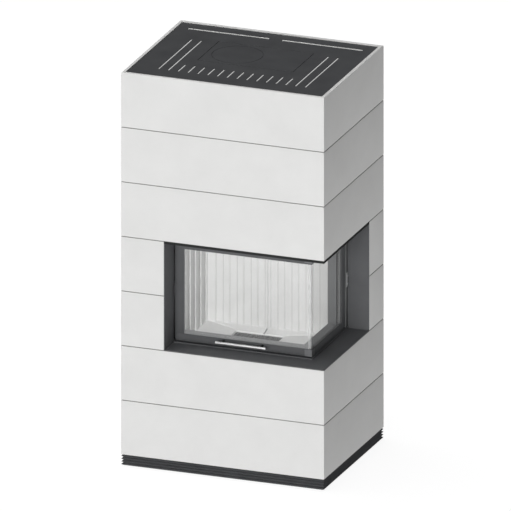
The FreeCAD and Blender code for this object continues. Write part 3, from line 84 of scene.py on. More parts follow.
# %% Colour and pattern size
def chart(code):
    """A paint chart's hex colour as linear red, green and blue, with a full alpha."""
    parts = [int(code[i:i + 2], 16) / 255 for i in (1, 3, 5)]
    linear = [c / 12.92 if c <= 0.04045 else ((c + 0.055) / 1.055) ** 2.4 for c in parts]
    return (*linear, 1.0)


def grain(millimetres):
    """Texture scale that makes a pattern's features this large, on coordinates in metres."""
    return 1000.0 / millimetres


print("middle grey in linear light:", round(chart("#808080")[0], 3))
print("scale of a 1 mm grain:", grain(1.0))


# %% Nodes
def feed(tree, node, inputs):
    """Set a node's inputs: each is a number, a colour or another node's output."""
    for name, value in inputs.items():
        if isinstance(value, bpy.types.NodeSocket):
            tree.links.new(value, node.inputs[name])
        else:
            node.inputs[name].default_value = value


def add(tree, kind, inputs=None, **settings):
    """A new shader node with its settings and inputs."""
    made = tree.nodes.new(kind)
    for name, value in settings.items():
        setattr(made, name, value)
    feed(tree, made, inputs or {})
    return made


def set_stops(ramp, dark, light, low=0.0, high=1.0):
    """Give a ramp's two stops their hex colours and their places."""
    for stop, code, position in zip(ramp.color_ramp.elements, (dark, light), (low, high)):
        stop.position = position
        stop.color = chart(code)


def new_finish(name):
    """An empty material, its node tree, its surface shader and the piece's own coordinates."""
    material = bpy.data.materials.new(name)
    material.use_nodes = True
    tree = material.node_tree
    tree.nodes.clear()
    shader = add(tree, "ShaderNodeBsdfPrincipled")
    add(tree, "ShaderNodeOutputMaterial", {"Surface": shader.outputs["BSDF"]})
    place = add(tree, "ShaderNodeTexCoord").outputs["Object"]
    return material, tree, shader, place


print("materials so far:", len(bpy.data.materials))

# %% [markdown]
# ## Cast concrete, smoothed and painted
# The blocks are cast in steel moulds from a light refractory concrete, then filled and painted a
# matte off-white. The eye sees an even tone with a faint cloudiness over some hand-widths, a fine
# sandy grain, and here and there a pinhole where an air bubble met the mould. A rougher grey
# concrete would be wrong: these faces are meant to be plain.

# %% Painted cast concrete: clouds, grain and pinholes
cast_concrete, tree, shader, place = new_finish("painted_cast_concrete")
clouds = add(tree, "ShaderNodeTexNoise",
             {"Vector": place, "Scale": grain(160), "Detail": 5.0, "Roughness": 0.6})
tone = add(tree, "ShaderNodeValToRGB", {"Fac": clouds.outputs["Fac"]})
set_stops(tone, "#DFDFDE", "#E4E4E3", 0.30, 0.72)
# The grain is 1 mm on the real face; it is drawn at 4 mm, because finer would vanish.
sand = add(tree, "ShaderNodeTexNoise",
           {"Vector": place, "Scale": grain(4), "Detail": 3.0, "Roughness": 0.7})
pits = add(tree, "ShaderNodeTexVoronoi", {"Vector": place, "Scale": grain(38), "Randomness": 1.0})
hole = add(tree, "ShaderNodeMapRange", {"Value": pits.outputs["Distance"], "From Max": 0.045})
speck = add(tree, "ShaderNodeMapRange", {"Value": hole.outputs["Result"], "To Min": 0.90})
painted = add(tree, "ShaderNodeMix",
              {0: 1.0, 6: tone.outputs["Color"], 7: speck.outputs["Result"]},
              data_type="RGBA", blend_type="MULTIPLY")
print("nodes for the painted face:", len(tree.nodes))

# %% [markdown]
# ### Painted shade in the joints
# Each block has a small chamfer all round, so two stacked blocks meet in a V groove. A grey band is
# painted along the bottom of each V: painted shade, which darkens the groove more than its own
# shading does. The courses are equally high, so the distance to the nearest joint follows from the
# height alone, and no picture of the joints is needed.

# %% Painted cast concrete: painted shade in the joints, and relief
PLINTH_HEIGHT = 0.048
COURSE_HEIGHT = 0.240
RIM_LEVEL = 1.70
JOINT_SHADE_REACH = 0.0019

height = add(tree, "ShaderNodeSeparateXYZ", {"Vector": place}).outputs["Z"]
above = add(tree, "ShaderNodeMath", {0: height, 1: PLINTH_HEIGHT}, operation="SUBTRACT")
nearest = add(tree, "ShaderNodeMath", {0: above.outputs["Value"], 1: COURSE_HEIGHT / 2},
              operation="PINGPONG")
below_rim = add(tree, "ShaderNodeMath", {0: height, 1: RIM_LEVEL}, operation="LESS_THAN")
in_joint = add(tree, "ShaderNodeMath", {0: nearest.outputs["Value"], 1: JOINT_SHADE_REACH},
               operation="LESS_THAN")
joint_shade = add(tree, "ShaderNodeMath",
             {0: below_rim.outputs["Value"], 1: in_joint.outputs["Value"]}, operation="MULTIPLY")
# Painted shade: a grey band along the bottom of each joint's V, below the rim.
with_joint_shade = add(tree, "ShaderNodeMix",
              {0: joint_shade.outputs["Value"], 6: painted.outputs[2], 7: chart("#9C9C9A")},
              data_type="RGBA")
relief = add(tree, "ShaderNodeMath", {0: sand.outputs["Fac"], 1: hole.outputs["Result"]},
             operation="ADD")
rough = add(tree, "ShaderNodeMapRange",
            {"Value": sand.outputs["Fac"], "To Min": 0.72, "To Max": 0.92})
bump = add(tree, "ShaderNodeBump",
           {"Height": relief.outputs["Value"], "Strength": 0.16, "Distance": 0.0008})
feed(tree, shader, {"Base Color": with_joint_shade.outputs[2], "Roughness": rough.outputs["Result"],
                    "Normal": bump.outputs["Normal"], "IOR": 1.5, "Specular IOR Level": 0.25})
print("made", cast_concrete.name)

# %% [markdown]
# ## Powder coats and stove paint
# The plinth, the window surround, the door frame and the cover are steel sheet with a baked powder
# coat, and the firebox's own steel wears a matte stove paint. Both flow before they set, so they
# have an orange-peel relief; heat and the duster polish them a little, which shows as slow changes
# of gloss. The real peel is about 1.5 mm wide and is drawn at 3 mm or more so that it shows.
#
# One recipe makes them all: nearly black for the handle's posts, and for the lintel as painted
# shade; dark greys for the sheet in the open, with a darker copy on the cover as painted shade
# under the strong top light; paler greys for the steel near the fire, lightened as painted light
# because it stands in shade; and a pale enamel, as painted light, under the cover's slots and on
# some chamfers. The painted shade on the fireclay is a dry, dull film, so it is mixed in the same
# way, only rougher.

# %% Powder coats
def powder_coat(name, dark, light, peel, roughness, shine=0.35):
    """A matte coat between two near tones, with a peel of some millimetres."""
    material, tree, shader, place = new_finish(name)
    peel_noise = add(tree, "ShaderNodeTexNoise",
                     {"Vector": place, "Scale": grain(peel), "Detail": 2.0})
    wear = add(tree, "ShaderNodeTexNoise",
               {"Vector": place, "Scale": grain(90), "Detail": 4.0, "Roughness": 0.55})
    tone = add(tree, "ShaderNodeValToRGB", {"Fac": wear.outputs["Fac"]})
    set_stops(tone, dark, light, 0.32, 0.70)
    rough = add(tree, "ShaderNodeMapRange",
                {"Value": wear.outputs["Fac"],
                 "To Min": roughness - 0.08, "To Max": roughness + 0.10})
    bump = add(tree, "ShaderNodeBump",
               {"Height": peel_noise.outputs["Fac"], "Strength": 0.22, "Distance": 0.0006})
    feed(tree, shader, {"Base Color": tone.outputs["Color"], "Roughness": rough.outputs["Result"],
                        "Normal": bump.outputs["Normal"], "Specular IOR Level": shine})
    print("made", name)
    return material


anthracite = powder_coat("anthracite_powder_coat", "#565759", "#5D5E60", 3.0, 0.62)
stove_paint = powder_coat("heat_proof_stove_paint", "#6A6B6C", "#747576", 4.0, 0.70)
bracket_coat = powder_coat("light_grey_powder_coat", "#737476", "#7B7C7E", 3.0, 0.55)
# Nearly black: the real coat of the handle's posts, and painted shade on the lintel.
black_coat_and_lintel_shade = powder_coat("black_powder_coat_and_painted_shade", "#2E2F2F", "#353636", 3.0, 0.75, shine=0.05)
# A darker copy of the sheet coat for the cover: painted shade under the strong top light.
cover_coat_with_painted_shade = powder_coat("cover_powder_coat_with_painted_shade", "#434446", "#494A4C", 3.0, 0.62)
plinth_coat = powder_coat("plinth_powder_coat", "#4B4C4E", "#525355", 3.0, 0.62)
# Stove paint drawn paler: painted light for the firebox steel that stands in shade.
stove_paint_lightened_as_light = powder_coat("stove_paint_lightened_as_painted_light", "#909192", "#98999A", 4.0, 0.68)
# A dull film for painted shade on some fireclay chamfers and in a hearth joint.
painted_shade_film = powder_coat("painted_shade_film", "#9A9A99", "#A4A4A3", 6.0, 0.85)
# Pale enamel for painted light: under the cover's slots, on their far walls and on the hearth's
# brink.
painted_light_enamel = powder_coat("painted_light_enamel", "#EFEFEE", "#F7F7F6", 5.0, 0.45)

# %% [markdown]
# ## Bare steel
# The handle's bar is stainless steel, brushed along its length with an abrasive belt. Chains,
# wheels, screws and the ash pan are plain rolled steel. In both, fine parallel scratches spread a
# highlight across the grain. Noise that is stretched along one axis draws them; the scratches are
# 0.1 mm wide in truth and are drawn near 1 mm.

# %% Stainless and rolled steel
def brushed(name, dark, light, stretch, roughness):
    """Bare metal whose scratches run along the axis with the smallest stretch."""
    material, tree, shader, place = new_finish(name)
    along = add(tree, "ShaderNodeMapping", {"Vector": place, "Scale": stretch})
    lines = add(tree, "ShaderNodeTexNoise",
                {"Vector": along.outputs["Vector"], "Scale": grain(1.2), "Detail": 4.0})
    tone = add(tree, "ShaderNodeValToRGB", {"Fac": lines.outputs["Fac"]})
    set_stops(tone, dark, light, 0.25, 0.75)
    rough = add(tree, "ShaderNodeMapRange",
                {"Value": lines.outputs["Fac"],
                 "To Min": roughness - 0.07, "To Max": roughness + 0.09})
    bump = add(tree, "ShaderNodeBump",
               {"Height": lines.outputs["Fac"], "Strength": 0.12, "Distance": 0.0002})
    feed(tree, shader, {"Base Color": tone.outputs["Color"], "Roughness": rough.outputs["Result"],
                        "Normal": bump.outputs["Normal"], "Metallic": 1.0})
    print("made", name)
    return material


stainless = brushed("brushed_stainless_steel", "#F4F4F4", "#FDFDFD", (0.02, 1.0, 1.0), 0.52)
rolled_steel = brushed("cold_rolled_steel", "#9A9C9E", "#B4B6B8", (1.0, 1.0, 0.04), 0.42)

# %% [markdown]
# ## Fireclay
# The firebox is lined with pressed fireclay slabs. They are pale and dry, and speckled with grog:
# crushed fired clay that is mixed in to keep the slab from cracking. Cells of the grog's size give
# the flecks, and a fine noise the touch of unglazed clay.

# %% Pressed fireclay
fireclay, tree, shader, place = new_finish("pressed_fireclay")
cloud = add(tree, "ShaderNodeTexNoise",
            {"Vector": place, "Scale": grain(70), "Detail": 5.0, "Roughness": 0.6})
tone = add(tree, "ShaderNodeValToRGB", {"Fac": cloud.outputs["Fac"]})
set_stops(tone, "#DCDCDB", "#E6E6E5", 0.30, 0.72)
grog = add(tree, "ShaderNodeTexVoronoi", {"Vector": place, "Scale": grain(11), "Randomness": 1.0})
fleck = add(tree, "ShaderNodeMapRange",
            {"Value": grog.outputs["Distance"], "From Max": 0.12, "To Min": 0.86})
speckled = add(tree, "ShaderNodeMix",
               {0: 1.0, 6: tone.outputs["Color"], 7: fleck.outputs["Result"]},
               data_type="RGBA", blend_type="MULTIPLY")
grit = add(tree, "ShaderNodeTexNoise", {"Vector": place, "Scale": grain(3), "Detail": 3.0})
bump = add(tree, "ShaderNodeBump",
           {"Height": grit.outputs["Fac"], "Strength": 0.15, "Distance": 0.0008})
feed(tree, shader, {"Base Color": speckled.outputs[2], "Normal": bump.outputs["Normal"],
                    "Roughness": 0.92, "Specular IOR Level": 0.2})
print("made", fireclay.name)

# %% [markdown]
# ## Cast iron
# The grate and the two counterweights are cast in sand, which leaves a dark, pebbly skin. One noise
# of the sand's size drives both the tone and the relief, so that hollows are also darker.

# %% Sand-cast iron
cast_iron, tree, shader, place = new_finish("sand_cast_iron")
pebble = add(tree, "ShaderNodeTexNoise",
             {"Vector": place, "Scale": grain(2.5), "Detail": 3.0, "Roughness": 0.65})
tone = add(tree, "ShaderNodeValToRGB", {"Fac": pebble.outputs["Fac"]})
set_stops(tone, "#1E1E1F", "#303031")
bump = add(tree, "ShaderNodeBump",
           {"Height": pebble.outputs["Fac"], "Strength": 0.2, "Distance": 0.001})
feed(tree, shader, {"Base Color": tone.outputs["Color"], "Normal": bump.outputs["Normal"],
                    "Metallic": 0.6, "Roughness": 0.66})
print("made", cast_iron.name)

# %% [markdown]
# ## Glass-fibre rope
# The door's seal is a knitted rope of glass fibre, pressed flat between the frame and the panes.
# Its stitches cross, so two wave patterns that run across each other make the knit.

# %% Knitted glass-fibre rope
fibre_rope, tree, shader, place = new_finish("knitted_glass_fibre_rope")
turned = add(tree, "ShaderNodeMapping",
             {"Vector": place, "Rotation": (0.0, math.radians(90), math.radians(90))})
stitches = [add(tree, "ShaderNodeTexWave",
                {"Vector": vector, "Scale": grain(18), "Distortion": 0.6},
                wave_type="BANDS", bands_direction="DIAGONAL").outputs["Fac"]
            for vector in (place, turned.outputs["Vector"])]
knit = add(tree, "ShaderNodeMath", {0: stitches[0], 1: stitches[1]}, operation="MULTIPLY")
tone = add(tree, "ShaderNodeValToRGB", {"Fac": knit.outputs["Value"]})
set_stops(tone, "#9A9A99", "#C0C0BF")
bump = add(tree, "ShaderNodeBump",
           {"Height": knit.outputs["Value"], "Strength": 0.8, "Distance": 0.0015})
feed(tree, shader, {"Base Color": tone.outputs["Color"], "Normal": bump.outputs["Normal"],
                    "Roughness": 0.9, "Sheen Weight": 0.3})
print("made", fibre_rope.name)

# %% [markdown]
# ## Glass-ceramic panes
# A fireplace window is a 4 mm glass-ceramic, not float glass. It is slightly hazy, and in a bright
# room it mirrors pale walls, so that the firebox is seen through a thin milky veil. That veil is a
# painted reflection: a pale coat, partly see-through, stands in for the mirrored walls. The side
# pane looks into the shade, so its coat is a dim grey, a painted reflection of the shade. A clear
# refractive shader would leave the firebox dark, because light bent by glass is hard to find for
# the renderer. A partly see-through coat lets the light pass straight on. The panes meet in a
# corner that is closed by a clear silicone seal.

# %% Panes and their clear seal
def see_through(name, tone, patch, detail, cover, surface):
    """A coat of this tone, whose cover changes slowly from patch to patch between two shares."""
    material, tree, shader, place = new_finish(name)
    film = add(tree, "ShaderNodeTexNoise",
               {"Vector": place, "Scale": grain(patch), "Detail": detail})
    veil = add(tree, "ShaderNodeMapRange",
               {"Value": film.outputs["Fac"], "To Min": cover[0], "To Max": cover[1]})
    feed(tree, shader, {"Alpha": veil.outputs["Result"], "Base Color": chart(tone), **surface})
    print("made", name)
    return material


PANE = {"Roughness": 0.08, "IOR": 1.54}
SEAL = {"Roughness": 0.60, "Specular IOR Level": 0.2}
# Painted reflections: a pale coat on the front pane, a dim grey one on the side pane.
pane_glass = see_through("glass_ceramic", "#F4F5F5", 260, 3.0, (0.09, 0.13), PANE)
side_glass = see_through("glass_ceramic_with_painted_dim_reflection", "#5E5F5F", 260, 3.0, (0.11, 0.15), PANE)
clear_seal = see_through("clear_silicone_seal", "#F4F5F5", 25, 2.0, (0.24, 0.27), SEAL)

# %% [markdown]
# ## Easing the edges
# No real edge is perfectly sharp: a mould has a small radius, and folded sheet has a larger one.
# The solids of the frame arrive as loose triangles. A copy is merged, its flat fans are dissolved
# into single faces, and the sharp edges that are left are bevelled. The copy then stands in for the
# solid and rides on the same body.
#
# Some nodes hold several bars. Where two bars are welded end to end, the faces between them go.
# Where two bars only touch along a line, they are taken apart first. An edge that is still pinched
# between more than two faces stays sharp, because a bevel would tear it.

# %% Put a piece in the scene
BODY_OF = {node: body for body, nodes in frame["record"]["behaviour"]["bodies"].items()
           for node in nodes}


def finish_mesh(shape, name):
    """Turn a finished shape into a mesh."""
    mesh = bpy.data.meshes.new(name)
    shape.to_mesh(mesh)
    shape.free()
    return mesh


def add_piece(name, mesh, body, finish):
    """Put a finished mesh in the scene, on its body, with its finish."""
    piece = bpy.data.objects.new(name, mesh)
    bpy.context.scene.collection.objects.link(piece)
    mesh.materials.clear()
    mesh.materials.append(finish)
    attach(piece, body)
    return piece


# %% Weld bars, and take touching bars apart
def weld(shape):
    """Delete triangles that lie face to face, where two bars of one node are welded end to end."""
    found = {}
    for face in shape.faces:
        corners = frozenset(tuple(round(number, 5) for number in vert.co) for vert in face.verts)
        found.setdefault(corners, []).append(face)
    inner = [face for twins in found.values() if len(twins) == 2 for face in twins]
    bmesh.ops.delete(shape, geom=inner, context="FACES")


def take_apart(shape):
    """Split solids that only touch, by walking over edges that have exactly two faces."""
    for face in shape.faces:
        face.tag = False
    shells = []
    for start in list(shape.faces):
        if start.tag:
            continue
        start.tag = True
        shell = [start]
        for face in shell:
            for edge in face.edges:
                if len(edge.link_faces) == 2:
                    fresh = [other for other in edge.link_faces if not other.tag]
                    for other in fresh:
                        other.tag = True
                    shell.extend(fresh)
        shells.append(shell)
    for shell in shells[1:]:
        bmesh.ops.split(shape, geom=shell)


print("triangles of the door frame's solid:", len(frame["nodes"]["door_frame"].data.polygons))

# %% Ease one node, or only dress it
MERGE_DISTANCE = 0.00001
SLIVER_WIDTH = 0.000005
PINHOLE_WIDTH = 0.0005
FLAT_ANGLE = math.radians(1.0)
SHARP_ANGLE = math.radians(30)
SMOOTH_ANGLE = math.radians(20)


def eased(node, width, finish, segments=2, shortest=0.012):
    """A copy of a node with its long sharp edges rounded by this width, in metres."""
    shape = bmesh.new()
    shape.from_mesh(frame["nodes"][node].data)
    shape.transform(frame["nodes"][node].matrix_world)
    weld(shape)
    bmesh.ops.remove_doubles(shape, verts=shape.verts, dist=MERGE_DISTANCE)
    take_apart(shape)
    bmesh.ops.dissolve_limit(shape, angle_limit=FLAT_ANGLE, verts=shape.verts, edges=shape.edges)
    pinched = {vert for edge in shape.edges if not edge.is_manifold for vert in edge.verts}
    sharp = [edge for edge in shape.edges
             if pinched.isdisjoint(edge.verts) and edge.is_convex
             and edge.calc_length() > shortest and edge.calc_face_angle() > SHARP_ANGLE]
    bmesh.ops.bevel(shape, geom=sharp, offset=width, offset_type="OFFSET", affect="EDGES",
                    segments=segments, profile=0.5, material=-1, clamp_overlap=True)
    # Where three bevels meet in a tight corner they leave slivers, and below them a pinhole.
    bmesh.ops.dissolve_degenerate(shape, edges=shape.edges, dist=SLIVER_WIDTH)
    rim = {vert for edge in shape.edges if edge.is_boundary for vert in edge.verts}
    bmesh.ops.remove_doubles(shape, verts=list(rim), dist=PINHOLE_WIDTH)
    bmesh.ops.triangulate(shape, faces=[face for face in shape.faces if len(face.verts) > 4])
    for face in shape.faces:
        face.smooth = True
    mesh = finish_mesh(shape, node + "_eased")
    # The solid's own normals came along with the copy, and no longer fit.
    if "custom_normal" in mesh.attributes:
        mesh.attributes.remove(mesh.attributes["custom_normal"])
    mesh.set_sharp_from_angle(angle=SMOOTH_ANGLE)
    piece = add_piece(node + "_eased", mesh, BODY_OF[node], finish)
    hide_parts(node)
    return piece


def dress(finish, *nodes):
    """Give nodes whose shape is already right their finish."""
    for node in nodes:
        solid = frame["nodes"][node]
        solid.data.materials.clear()
        solid.data.materials.append(finish)


print("edges turned by more than", round(math.degrees(SHARP_ANGLE)), "degrees will be eased")

# %% [markdown]
# ## The casing and the plinth
# The blocks keep a mould radius of about a millimetre. Their joints are small V grooves, already in
# the solids, and they read as thin grey lines. The plinth's pointed rings are rolled steel strip
# and stay crisp, so they are only dressed.

# %% Casing blocks and plinth
MOULD_RADIUS = 0.0010
BLOCKS = ["base_module", "lower_module", "window_module_lower", "window_module_upper",
          "lintel_module", "upper_module", "top_module"]
for block in BLOCKS:
    eased(block, MOULD_RADIUS, cast_concrete, shortest=0.05)
dress(plinth_coat, "plinth_louvres", "plinth_frame")
print("eased", len(BLOCKS), "blocks")

# %% [markdown]
# ## The window surround
# Sill, cheeks and lintel are folded from 3 mm sheet, so their edges are eased by half a millimetre.
# The lintel is drawn nearly black, a painted shade, because it closes the niche against the light.
# Pieces that stand in the niche are collected here, for a lamp of their own at the end.

# %% Surround
SHEET_EDGE = 0.0005
niche = [eased("sill_plate", SHEET_EDGE, anthracite),
         eased("reveal_cheeks", SHEET_EDGE, anthracite)]
# Painted shade: the lintel's coat is drawn nearly black.
eased("lintel_beam", SHEET_EDGE, black_coat_and_lintel_shade)
dress(stove_paint, "carrier_posts")
print("pieces of the niche:", len(niche))

# %% [markdown]
# ## The lifting door
# Frame bars and retainers are drawn steel profile, and the panes have ground edges. The seal is a
# square bar in the solids; a wide bevel in several steps gives it the rope's round section. The
# handle is turned, so it only needs smooth shading: no edge of it is as long as the limit below.

# %% Door frame, panes and handle
PROFILE_EDGE = 0.0008
GROUND_EDGE = 0.0004
FINE_EDGE = 0.0002
ROPE_RADIUS = 0.0032
BEVEL_NOTHING = 0.5

niche.append(eased("door_frame", PROFILE_EDGE, anthracite))
# The retainers get the paler paint: painted light, as they stand in shade behind the panes.
niche.append(eased("glass_retainers", PROFILE_EDGE, stove_paint_lightened_as_light))
eased("corner_brackets", SHEET_EDGE, bracket_coat)
eased("glass_front", GROUND_EDGE, pane_glass)
eased("glass_side", GROUND_EDGE, side_glass)
eased("corner_strip", FINE_EDGE, clear_seal)
eased("handle_bar", FINE_EDGE, stainless, shortest=BEVEL_NOTHING)
eased("handle_posts", FINE_EDGE, black_coat_and_lintel_shade, shortest=BEVEL_NOTHING)
niche.append(eased("door_carriages", PROFILE_EDGE, anthracite))
niche.append(eased("door_seals", ROPE_RADIUS, fibre_rope, segments=5))
print("pieces of the niche with the door:", len(niche))

# %% [markdown]
# ## The door's rear fitting
# In the gap behind the side pane a small plate reaches back from the stile beside the rail, and two
# drilled screw heads hold it. It is cut from strip and about as large as a thumb, so a bevelled
# block and two turned heads are enough. Its place follows from the door and the rail, and it rides
# on the door.

# %% Rear fitting: the plate
STRIP = Vector((0.003, 0.019, 0.062))
STRIP_EDGE = 0.0006
STRIP_DROP = 0.010
RAIL_CLEARANCE = 0.001


def corners_of(node):
    """The least and the greatest corner of a node's box."""
    solid = frame["nodes"][node]
    points = [solid.matrix_world @ vertex.co for vertex in solid.data.vertices]
    return [Vector([pick(point[axis] for point in points) for axis in range(3)])
            for pick in (min, max)]


door_low, door_high = corners_of("door_frame")
rail_side = corners_of("guide_rails")[1].x
strip_centre = Vector((rail_side + RAIL_CLEARANCE + STRIP.x / 2, door_high.y + STRIP.y / 2,
                       (door_low.z + door_high.z) / 2 - STRIP_DROP))
plate = bmesh.new()
bmesh.ops.create_cube(plate, size=1.0)
bmesh.ops.scale(plate, verts=plate.verts, vec=STRIP)
bmesh.ops.bevel(plate, geom=plate.edges, offset=STRIP_EDGE, offset_type="OFFSET", affect="EDGES",
                segments=2, profile=0.5, material=-1)
bmesh.ops.translate(plate, verts=plate.verts, vec=strip_centre)
bmesh.ops.recalc_face_normals(plate, faces=plate.faces)
# The plate gets the paler paint: painted light in the shaded gap.
niche.append(add_piece("carriage_plate", finish_mesh(plate, "carriage_plate"), "lift_door",
                       stove_paint_lightened_as_light))
print("plate at", [round(number, 4) for number in strip_centre])

# %% Rear fitting: the screws
HEAD_RADIUS = 0.0055
HEAD_HEIGHT = 0.0025
HEAD_SPACING = 0.034
HEAD_TAPER = 0.9
SOCKET_WALL = 0.45
SOCKET_TAPER = 0.0002
SOCKET_DEPTH = 0.0015

heads = bmesh.new()
facing_right = Matrix.Rotation(math.radians(90), 4, "Y")
for rise in (-HEAD_SPACING / 2, HEAD_SPACING / 2):
    seat = strip_centre + Vector(((STRIP.x + HEAD_HEIGHT) / 2, 0.0, rise))
    bmesh.ops.create_cone(heads, cap_ends=True, segments=24, radius1=HEAD_RADIUS,
                          radius2=HEAD_RADIUS * HEAD_TAPER, depth=HEAD_HEIGHT,
                          matrix=Matrix.Translation(seat) @ facing_right)
tops = [face for face in heads.faces if face.normal.x > 0.9]
bmesh.ops.inset_individual(heads, faces=tops, thickness=HEAD_RADIUS * SOCKET_WALL, depth=0.0)
bmesh.ops.inset_individual(heads, faces=tops, thickness=SOCKET_TAPER, depth=-SOCKET_DEPTH)
bmesh.ops.recalc_face_normals(heads, faces=heads.faces)
niche.append(add_piece("carriage_screws", finish_mesh(heads, "carriage_screws"), "lift_door",
                       rolled_steel))
print("screw heads:", len(tops))

# %% [markdown]
# ## The firebox
# The firebox is welded plate under stove paint, with a pressed fireclay lining of broad flutes and
# sloped hearth slabs that guide the embers to the grate. Slab edges are rubbed off to chamfers of 2
# to 3 mm, narrower on the thin flutes of the walls. One flat step is truer here than a round: the
# mason breaks the edge with a rubbing stone. The front frame and ledge belong to the steel; their
# stove paint is drawn paler than the rest, as painted light, because they stand in shade.

# %% Lining, hearth and steel
SLAB_EDGE = 0.0025
OTHER_EDGES = {"lining_left": 0.0018, "lining_back_left": 0.0024, "lining_back_right": 0.0024,
               "hearth_back_left": 0.0035, "hearth_back_right": 0.0035}
SLABS = ["lining_left", "lining_back_left", "lining_back_right", "hearth_left", "hearth_right",
         "hearth_front", "hearth_back_left", "hearth_back_right", "baffle_plate"]
GRATE_EDGE = 0.0015

slabs = {slab: eased(slab, OTHER_EDGES.get(slab, SLAB_EDGE), fireclay, segments=1)
         for slab in SLABS}
# The ledge and the front frame get the paler paint: painted light for steel in shade.
lining = [*slabs.values(), eased("hearth_ledge", PROFILE_EDGE, stove_paint_lightened_as_light)]
niche.append(eased("grate", GRATE_EDGE, cast_iron))
niche.append(eased("ash_pan", SHEET_EDGE, rolled_steel))
niche.append(eased("firebox_front_frame", PROFILE_EDGE, stove_paint_lightened_as_light))
dress(stove_paint, "firebox_floor", "firebox_walls", "hood_plates", "firebox_roof",
      "flue_collar", "insert_stand", "air_spigot")
dress(rolled_steel, "collar_bolts", "stand_feet", "air_flap")
print("slabs:", len(slabs), "pieces of the niche in all:", len(niche))

# %% [markdown]
# ### Painted shade and highlight on the slabs
# A dull dark film is painted on the chamfers of the back wall's flutes that face left, away from
# the lamp: painted shade, so that both edges of each flute show as dark lines. The same painted
# shade fills the joint between the two rear hearth stones.
# The brink behind the grate gets a pale enamel on its front chamfer: a painted highlight. These are
# chamfers that the bevel has just made, so they are found by the way they face, and no mask has to
# be painted.

# %% Painted shade and highlight on the slabs
SHADED_SIDE = 0.3
BRINK_FRONT, BRINK_TOP = 0.6, 0.62
JOINT_LEAN = 0.6


def second_finish(piece, finish, chosen):
    """Give the chosen faces of a piece another finish than the rest."""
    index = len(piece.data.materials)
    piece.data.materials.append(finish)
    for face in chosen:
        face.material_index = index
    print(piece.name, "has", finish.name, "on", len(chosen), "faces")


# Painted shade on the flutes' chamfers that face left and to the front.
for wall in (slabs["lining_back_left"], slabs["lining_back_right"]):
    second_finish(wall, painted_shade_film, [face for face in wall.data.polygons
                                    if face.normal.x < -SHADED_SIDE and face.normal.y < -SHADED_SIDE])
# A pale front chamfer on the rear hearth stones is a painted highlight.
for stone in (slabs["hearth_back_left"], slabs["hearth_back_right"]):
    second_finish(stone, painted_light_enamel, [
        face for face in stone.data.polygons
        if face.normal.y < -BRINK_FRONT and face.normal.z > BRINK_TOP])
    # Painted shade in the joint between the two stones.
    second_finish(stone, painted_shade_film, [
        face for face in stone.data.polygons
        if abs(face.normal.x) > JOINT_LEAN and face.normal.z > JOINT_LEAN])

# %% [markdown]
# ## The lift
# Chains, wheels and their brackets are bare rolled steel, and the rails wear stove paint, because
# their mouths show beside the door. All the rest is hidden behind the blocks. The weights are cast
# iron with a generous mould radius.

# %% Lift
WEIGHT_EDGE = 0.003
dress(stove_paint, "guide_rails")
dress(rolled_steel, "sprocket_brackets", "lift_chains", "left_upper_sprocket",
      "left_lower_sprocket", "rear_upper_sprocket", "rear_lower_sprocket", "locating_dowels")
weights = [eased(weight, WEIGHT_EDGE, cast_iron)
           for weight in ("left_counterweight", "rear_counterweight")]
print("eased", len(weights), "weights")

# %% [markdown]
# ## The cover
# A slotted plate, a lift-out panel and a round blank over the flue, all cut from coated sheet.
# Strips in a pale enamel lie under the slots: painted light, so that each slot shows as a pale line
# where it would lie in shade. The two long slots at the rear are seen at a flat angle, so it is
# their far wall that shows, and that wall is painted pale too, as painted light.

# %% Cover
CUT_EDGE = 0.0004
REAR_MARGIN = 0.020
FACING_FRONT = 0.9

# The cover's coat is drawn darker than the other sheet: painted shade under the top light.
cover = eased("cover_plate", CUT_EDGE, cover_coat_with_painted_shade)
panel = eased("flue_panel", CUT_EDGE, cover_coat_with_painted_shade)
eased("flue_disc", CUT_EDGE, cover_coat_with_painted_shade)
# The pale screens under the slots are painted light.
dress(painted_light_enamel, "vent_screens")
behind_the_panel = max(vertex.co.y for vertex in panel.data.vertices) + REAR_MARGIN
# The rear slots' far walls are painted pale: painted light.
second_finish(cover, painted_light_enamel, [
    face for face in cover.data.polygons
    if face.normal.y < -FACING_FRONT and face.center.y > behind_the_panel])

# %% [markdown]
# ## Studio
# The picture has a plain white ground, a bright front, a fair top and a dim right side. The ground
# glows like white paper, a little more for the eye than for the object, so that the lower blocks
# are not lit from below. A dark sheet under the plinth keeps its foot dark.

# %% Ground
FLOOR_SIZE = 60.0
FLOOR_DEPTH = 0.0005
SHADE_LENGTH, SHADE_WIDTH = 0.86, 0.66
SHADE_DEPTH = 0.0002
GLOW_ON_THE_OBJECT, GLOW_TO_THE_EYE = 0.74, 0.90


def ground_sheet(name, length, width, depth, finish):
    """A flat sheet, this far below the object's foot."""
    shape = bmesh.new()
    bmesh.ops.create_grid(shape, x_segments=1, y_segments=1, size=0.5)
    bmesh.ops.scale(shape, verts=shape.verts, vec=(length, width, 1.0))
    bmesh.ops.translate(shape, verts=shape.verts, vec=(0.0, 0.0, -depth))
    sheet = bpy.data.objects.new(name, finish_mesh(shape, name))
    bpy.context.scene.collection.objects.link(sheet)
    sheet.data.materials.append(finish)
    print("laid", name)
    return sheet


